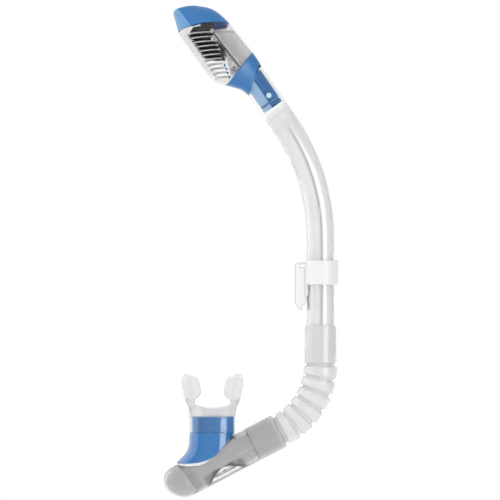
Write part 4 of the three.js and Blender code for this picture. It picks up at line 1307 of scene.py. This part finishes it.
def make_purge_cup():
    body = Body(purge_oval(0), 0, BEYOND, 2)
    rings = wall(body, PURGE["top"], body.meet(under_chamber), PURGE["wall"], 10, 0.3)
    cup = piece("purge_cup", [(rings, True)], PURGE_FRAME)
    inside = purge_oval(PURGE["wall"] - 0.3)
    slab = column("floor", inside, PURGE["floor"], PURGE["floor_end"], PURGE_FRAME)
    cut(slab, rod("hole", PURGE["hole"], 0, BEYOND, PURGE_FRAME, 64))
    return join(cup, slab)


def make_purge_cover():
    inside = purge_oval(PURGE["wall"] + GAP)
    cover = column("purge_grille", inside, PURGE["cover"], BEYOND, PURGE_FRAME)
    middle = PURGE["z"]
    within = rod("within", CHAMBER_R, middle - BEYOND, middle + BEYOND, CHAMBER, 256)
    combine(cover, [within], "INTERSECT")
    start, low, high = PURGE["top"], middle - PURGE["slot_half"], middle + PURGE["slot_half"]
    outline = [(start, low), (BEYOND, low), (BEYOND, high), (start, high)]
    cutters = []
    for i in range(PURGE["slots"]):
        y = (i - (PURGE["slots"] - 1) / 2) * PURGE["pitch"] - PURGE["slot_width"] / 2
        cutters.append(plate("slot", outline, y, y + PURGE["slot_width"], CHAMBER, 0))
    return cut(cover, *cutters)


def make_port():
    """The port's foot on the chamber, and the narrower sleeve inside the mouthpiece."""
    body = station_body(PORT_STATIONS, 120)
    low = body.meet(chamber_roof(CHAMBER_R + 1.5))
    lower = wall(body, low, PORT_STATIONS[-1][0], PORT_WALL, 40, 0.4)
    sleeve = Body(oval(SLEEVE["long"], SLEEVE["half"], count=40), SLEEVE["low"], PORT_TOP, 2)
    upper = wall(sleeve, SLEEVE["low"], PORT_TOP, PORT_WALL, 12, 0.4)
    return piece("mouthpiece_port_blue", [(lower, True), (upper, True)], PORT_FRAME, crease=40)


def chamber_roof(r):
    """Height of the chamber's outside, grown to radius r, over a point (x, y) of the port."""
    origin, along = CHAMBER[:3, 3], CHAMBER[:3, 2]

    def height(x, y):
        axis = origin[2] + (x + MOUTH_X - origin[0]) * along[2] / along[0]
        return axis + np.sqrt(np.maximum(r * r - y * y, 1.0)) / along[0]

    return height


chamber = dress(make_chamber(), SMOKY_PLASTIC, "chamber", "smoky_plastic", "chamber")
# painted shadow on the recess walls around the purge valve
second_skin(chamber, RECESS_SHADOW, PURGE_FRAME, recess_wall)
dress(make_end_cap(), SMOKY_PLASTIC, "chamber", "smoky_plastic", "chamber_end_cap")
dress(make_end_skirt(), SHELL_PLASTIC, "chamber", "smoky_plastic", "chamber_end_cap")
dress(make_end_seal(), RING_RUBBER, "chamber", "grey_rubber", "end_cap_seal")
dress(make_purge_cup(), PURGE_PLASTIC, "chamber", "smoky_plastic", "purge_frame")
dress(make_purge_cover(), PURGE_PLASTIC, "chamber", "smoky_plastic", "purge_cover")
dress(make_port(), BLUE_PLASTIC, "chamber", "blue_plastic", "mouthpiece_port")

# ---- mouthpiece


def spline(points, steps):
    """A smooth open curve through points."""
    p = np.array(points, float)
    p = np.vstack([2 * p[0] - p[1], p, 2 * p[-1] - p[-2]])
    made = []
    for a, b, c, d in zip(p, p[1:], p[2:], p[3:]):
        for t in np.linspace(0, 1, steps, endpoint=False):
            square, cube = 2 * a - 5 * b + 4 * c - d, 3 * b - a - 3 * c + d
            made.append(tuple(0.5 * (2 * b + (c - a) * t + square * t * t + cube * t**3)))
    return made


def make_mouthpiece():
    rings = block(
        station_body(MOUTH_STATIONS, 160), MOUTH_STATIONS[0][0], MOUTH_STATIONS[-1][0], 40, 0.4
    )
    obj = piece("mouthpiece_silicone", [(rings, False)], PORT_FRAME)
    cut(obj, cross_bar("saddle", SADDLE["r"], MOUTH_X, SADDLE["low"] + SADDLE["r"], BEYOND, 300))
    for side in (1, -1):
        outline = [(side * x, z) for x, z in spline(TAB_POINTS, 5)]
        tab = plate("tab", outline, -TAB_HALF, TAB_HALF, PORT_FRAME, 1.3)
        for face in (1, -1):
            ridge = at(MOUTH_X + side * BITE_RIDGE["x"], BITE_RIDGE["z"], side * 4)
            ridge[1, 3] = face * TAB_HALF
            join(tab, rod("ridge", BITE_RIDGE["r"], -8, 8, ridge, 24, 1.2))
        join(obj, tab)
    sleeve = oval(SLEEVE["long"], SLEEVE["half"], -GAP)
    airway = oval(MOUTH_BORE["long"], MOUTH_BORE["half"], power=2.0)
    return cut(
        obj,
        column("sleeve", sleeve, SLEEVE["low"], PORT_TOP + GAP, PORT_FRAME),
        column("airway", airway, MOUTH_BORE["low"], MOUTH_BORE["high"], PORT_FRAME),
        crease=60,
    )


dress(make_mouthpiece(), MOUTH_SILICONE, "chamber", "clear_silicone", "mouthpiece")

# ---- CAD nodes that stay as they are

KEPT = {
    "spigot_seal": BLUE_RUBBER,
    "port_gasket": GREY_RUBBER,
    "purge_diaphragm": CLEAR_SILICONE,
}
for name, material in KEPT.items():
    paint(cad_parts[name], material)

# ---- studio


def make_world():
    """White behind the object, and a slightly darker sky, brighter overhead, around it."""
    world = bpy.data.worlds.new("studio")
    world.use_nodes = True
    tree = world.node_tree
    coords = node(tree, "ShaderNodeTexCoord").outputs["Generated"]
    parts = node(tree, "ShaderNodeSeparateXYZ", Vector=coords).outputs
    height = ranged(tree, parts["Z"], -0.6, 0.9, SKY_LOW, SKY_HIGH)
    aside = worked(tree, "ABSOLUTE", parts["X"])
    sky = worked(tree, "MULTIPLY", height, ranged(tree, aside, 0.35, 0.95, 1.0, SKY_SIDES))
    seen = node(tree, "ShaderNodeLightPath").outputs["Is Camera Ray"]
    behind = ranged(tree, parts["Y"], 0.8, 0.95, 0.0, 1.0)
    for white in (seen, behind):
        sky = worked(tree, "MAXIMUM", sky, white)
    fill(tree, tree.nodes["Background"], Strength=sky, Color=(1.0, 1.0, 1.0, 1.0))
    bpy.context.scene.world = world


def make_light(name, azimuth, elevation, width, height, radiance, mirrored):
    """A soft panel that faces the snorkel and either lights it or is mirrored in it."""
    data = bpy.data.lights.new(name, "AREA")
    data.shape = "RECTANGLE"
    data.size, data.size_y = width, height
    data.energy = radiance * math.pi * width * height
    light = linked(name, data)
    a, e = math.radians(azimuth), math.radians(elevation)
    way = Vector((math.sin(a) * math.cos(e), -math.cos(a) * math.cos(e), math.sin(e)))
    light.location = VIEW_CENTRE + way * LIGHT_DISTANCE
    light.rotation_mode = "QUATERNION"
    light.rotation_quaternion = way.to_track_quat("Z", "Y")
    light.visible_camera = False
    light.visible_diffuse = not mirrored
    light.visible_glossy = mirrored
    light.visible_transmission = mirrored


def make_floor():
    mesh = bpy.data.meshes.new("floor")
    half, low = FLOOR_HALF, cad_low.z - FLOOR_DROP
    corners = [(-half, -half, low), (half, -half, low), (half, half, low), (-half, half, low)]
    mesh.from_pydata(corners, [], [(0, 1, 2, 3)])
    floor = linked("floor", mesh)
    material, tree, principled = shader(
        "pale_floor", Roughness=0.9, Emission_Color=(1, 1, 1, 1), Emission_Strength=0.25
    )
    clouds = noise(tree, place(tree), 0.02)
    tint = mixed(tree, clouds, (0.95, 0.95, 0.95), (0.93, 0.93, 0.935))
    fill(tree, principled, Base_Color=tint)
    mesh.materials.append(material)


make_world()
for name, values in LIGHTS.items():
    make_light(name, *values)
make_floor()

scene = bpy.context.scene
scene.view_settings.view_transform = "Standard"
scene.cycles.max_bounces = 24
scene.cycles.transmission_bounces = 20
scene.cycles.transparent_max_bounces = 16
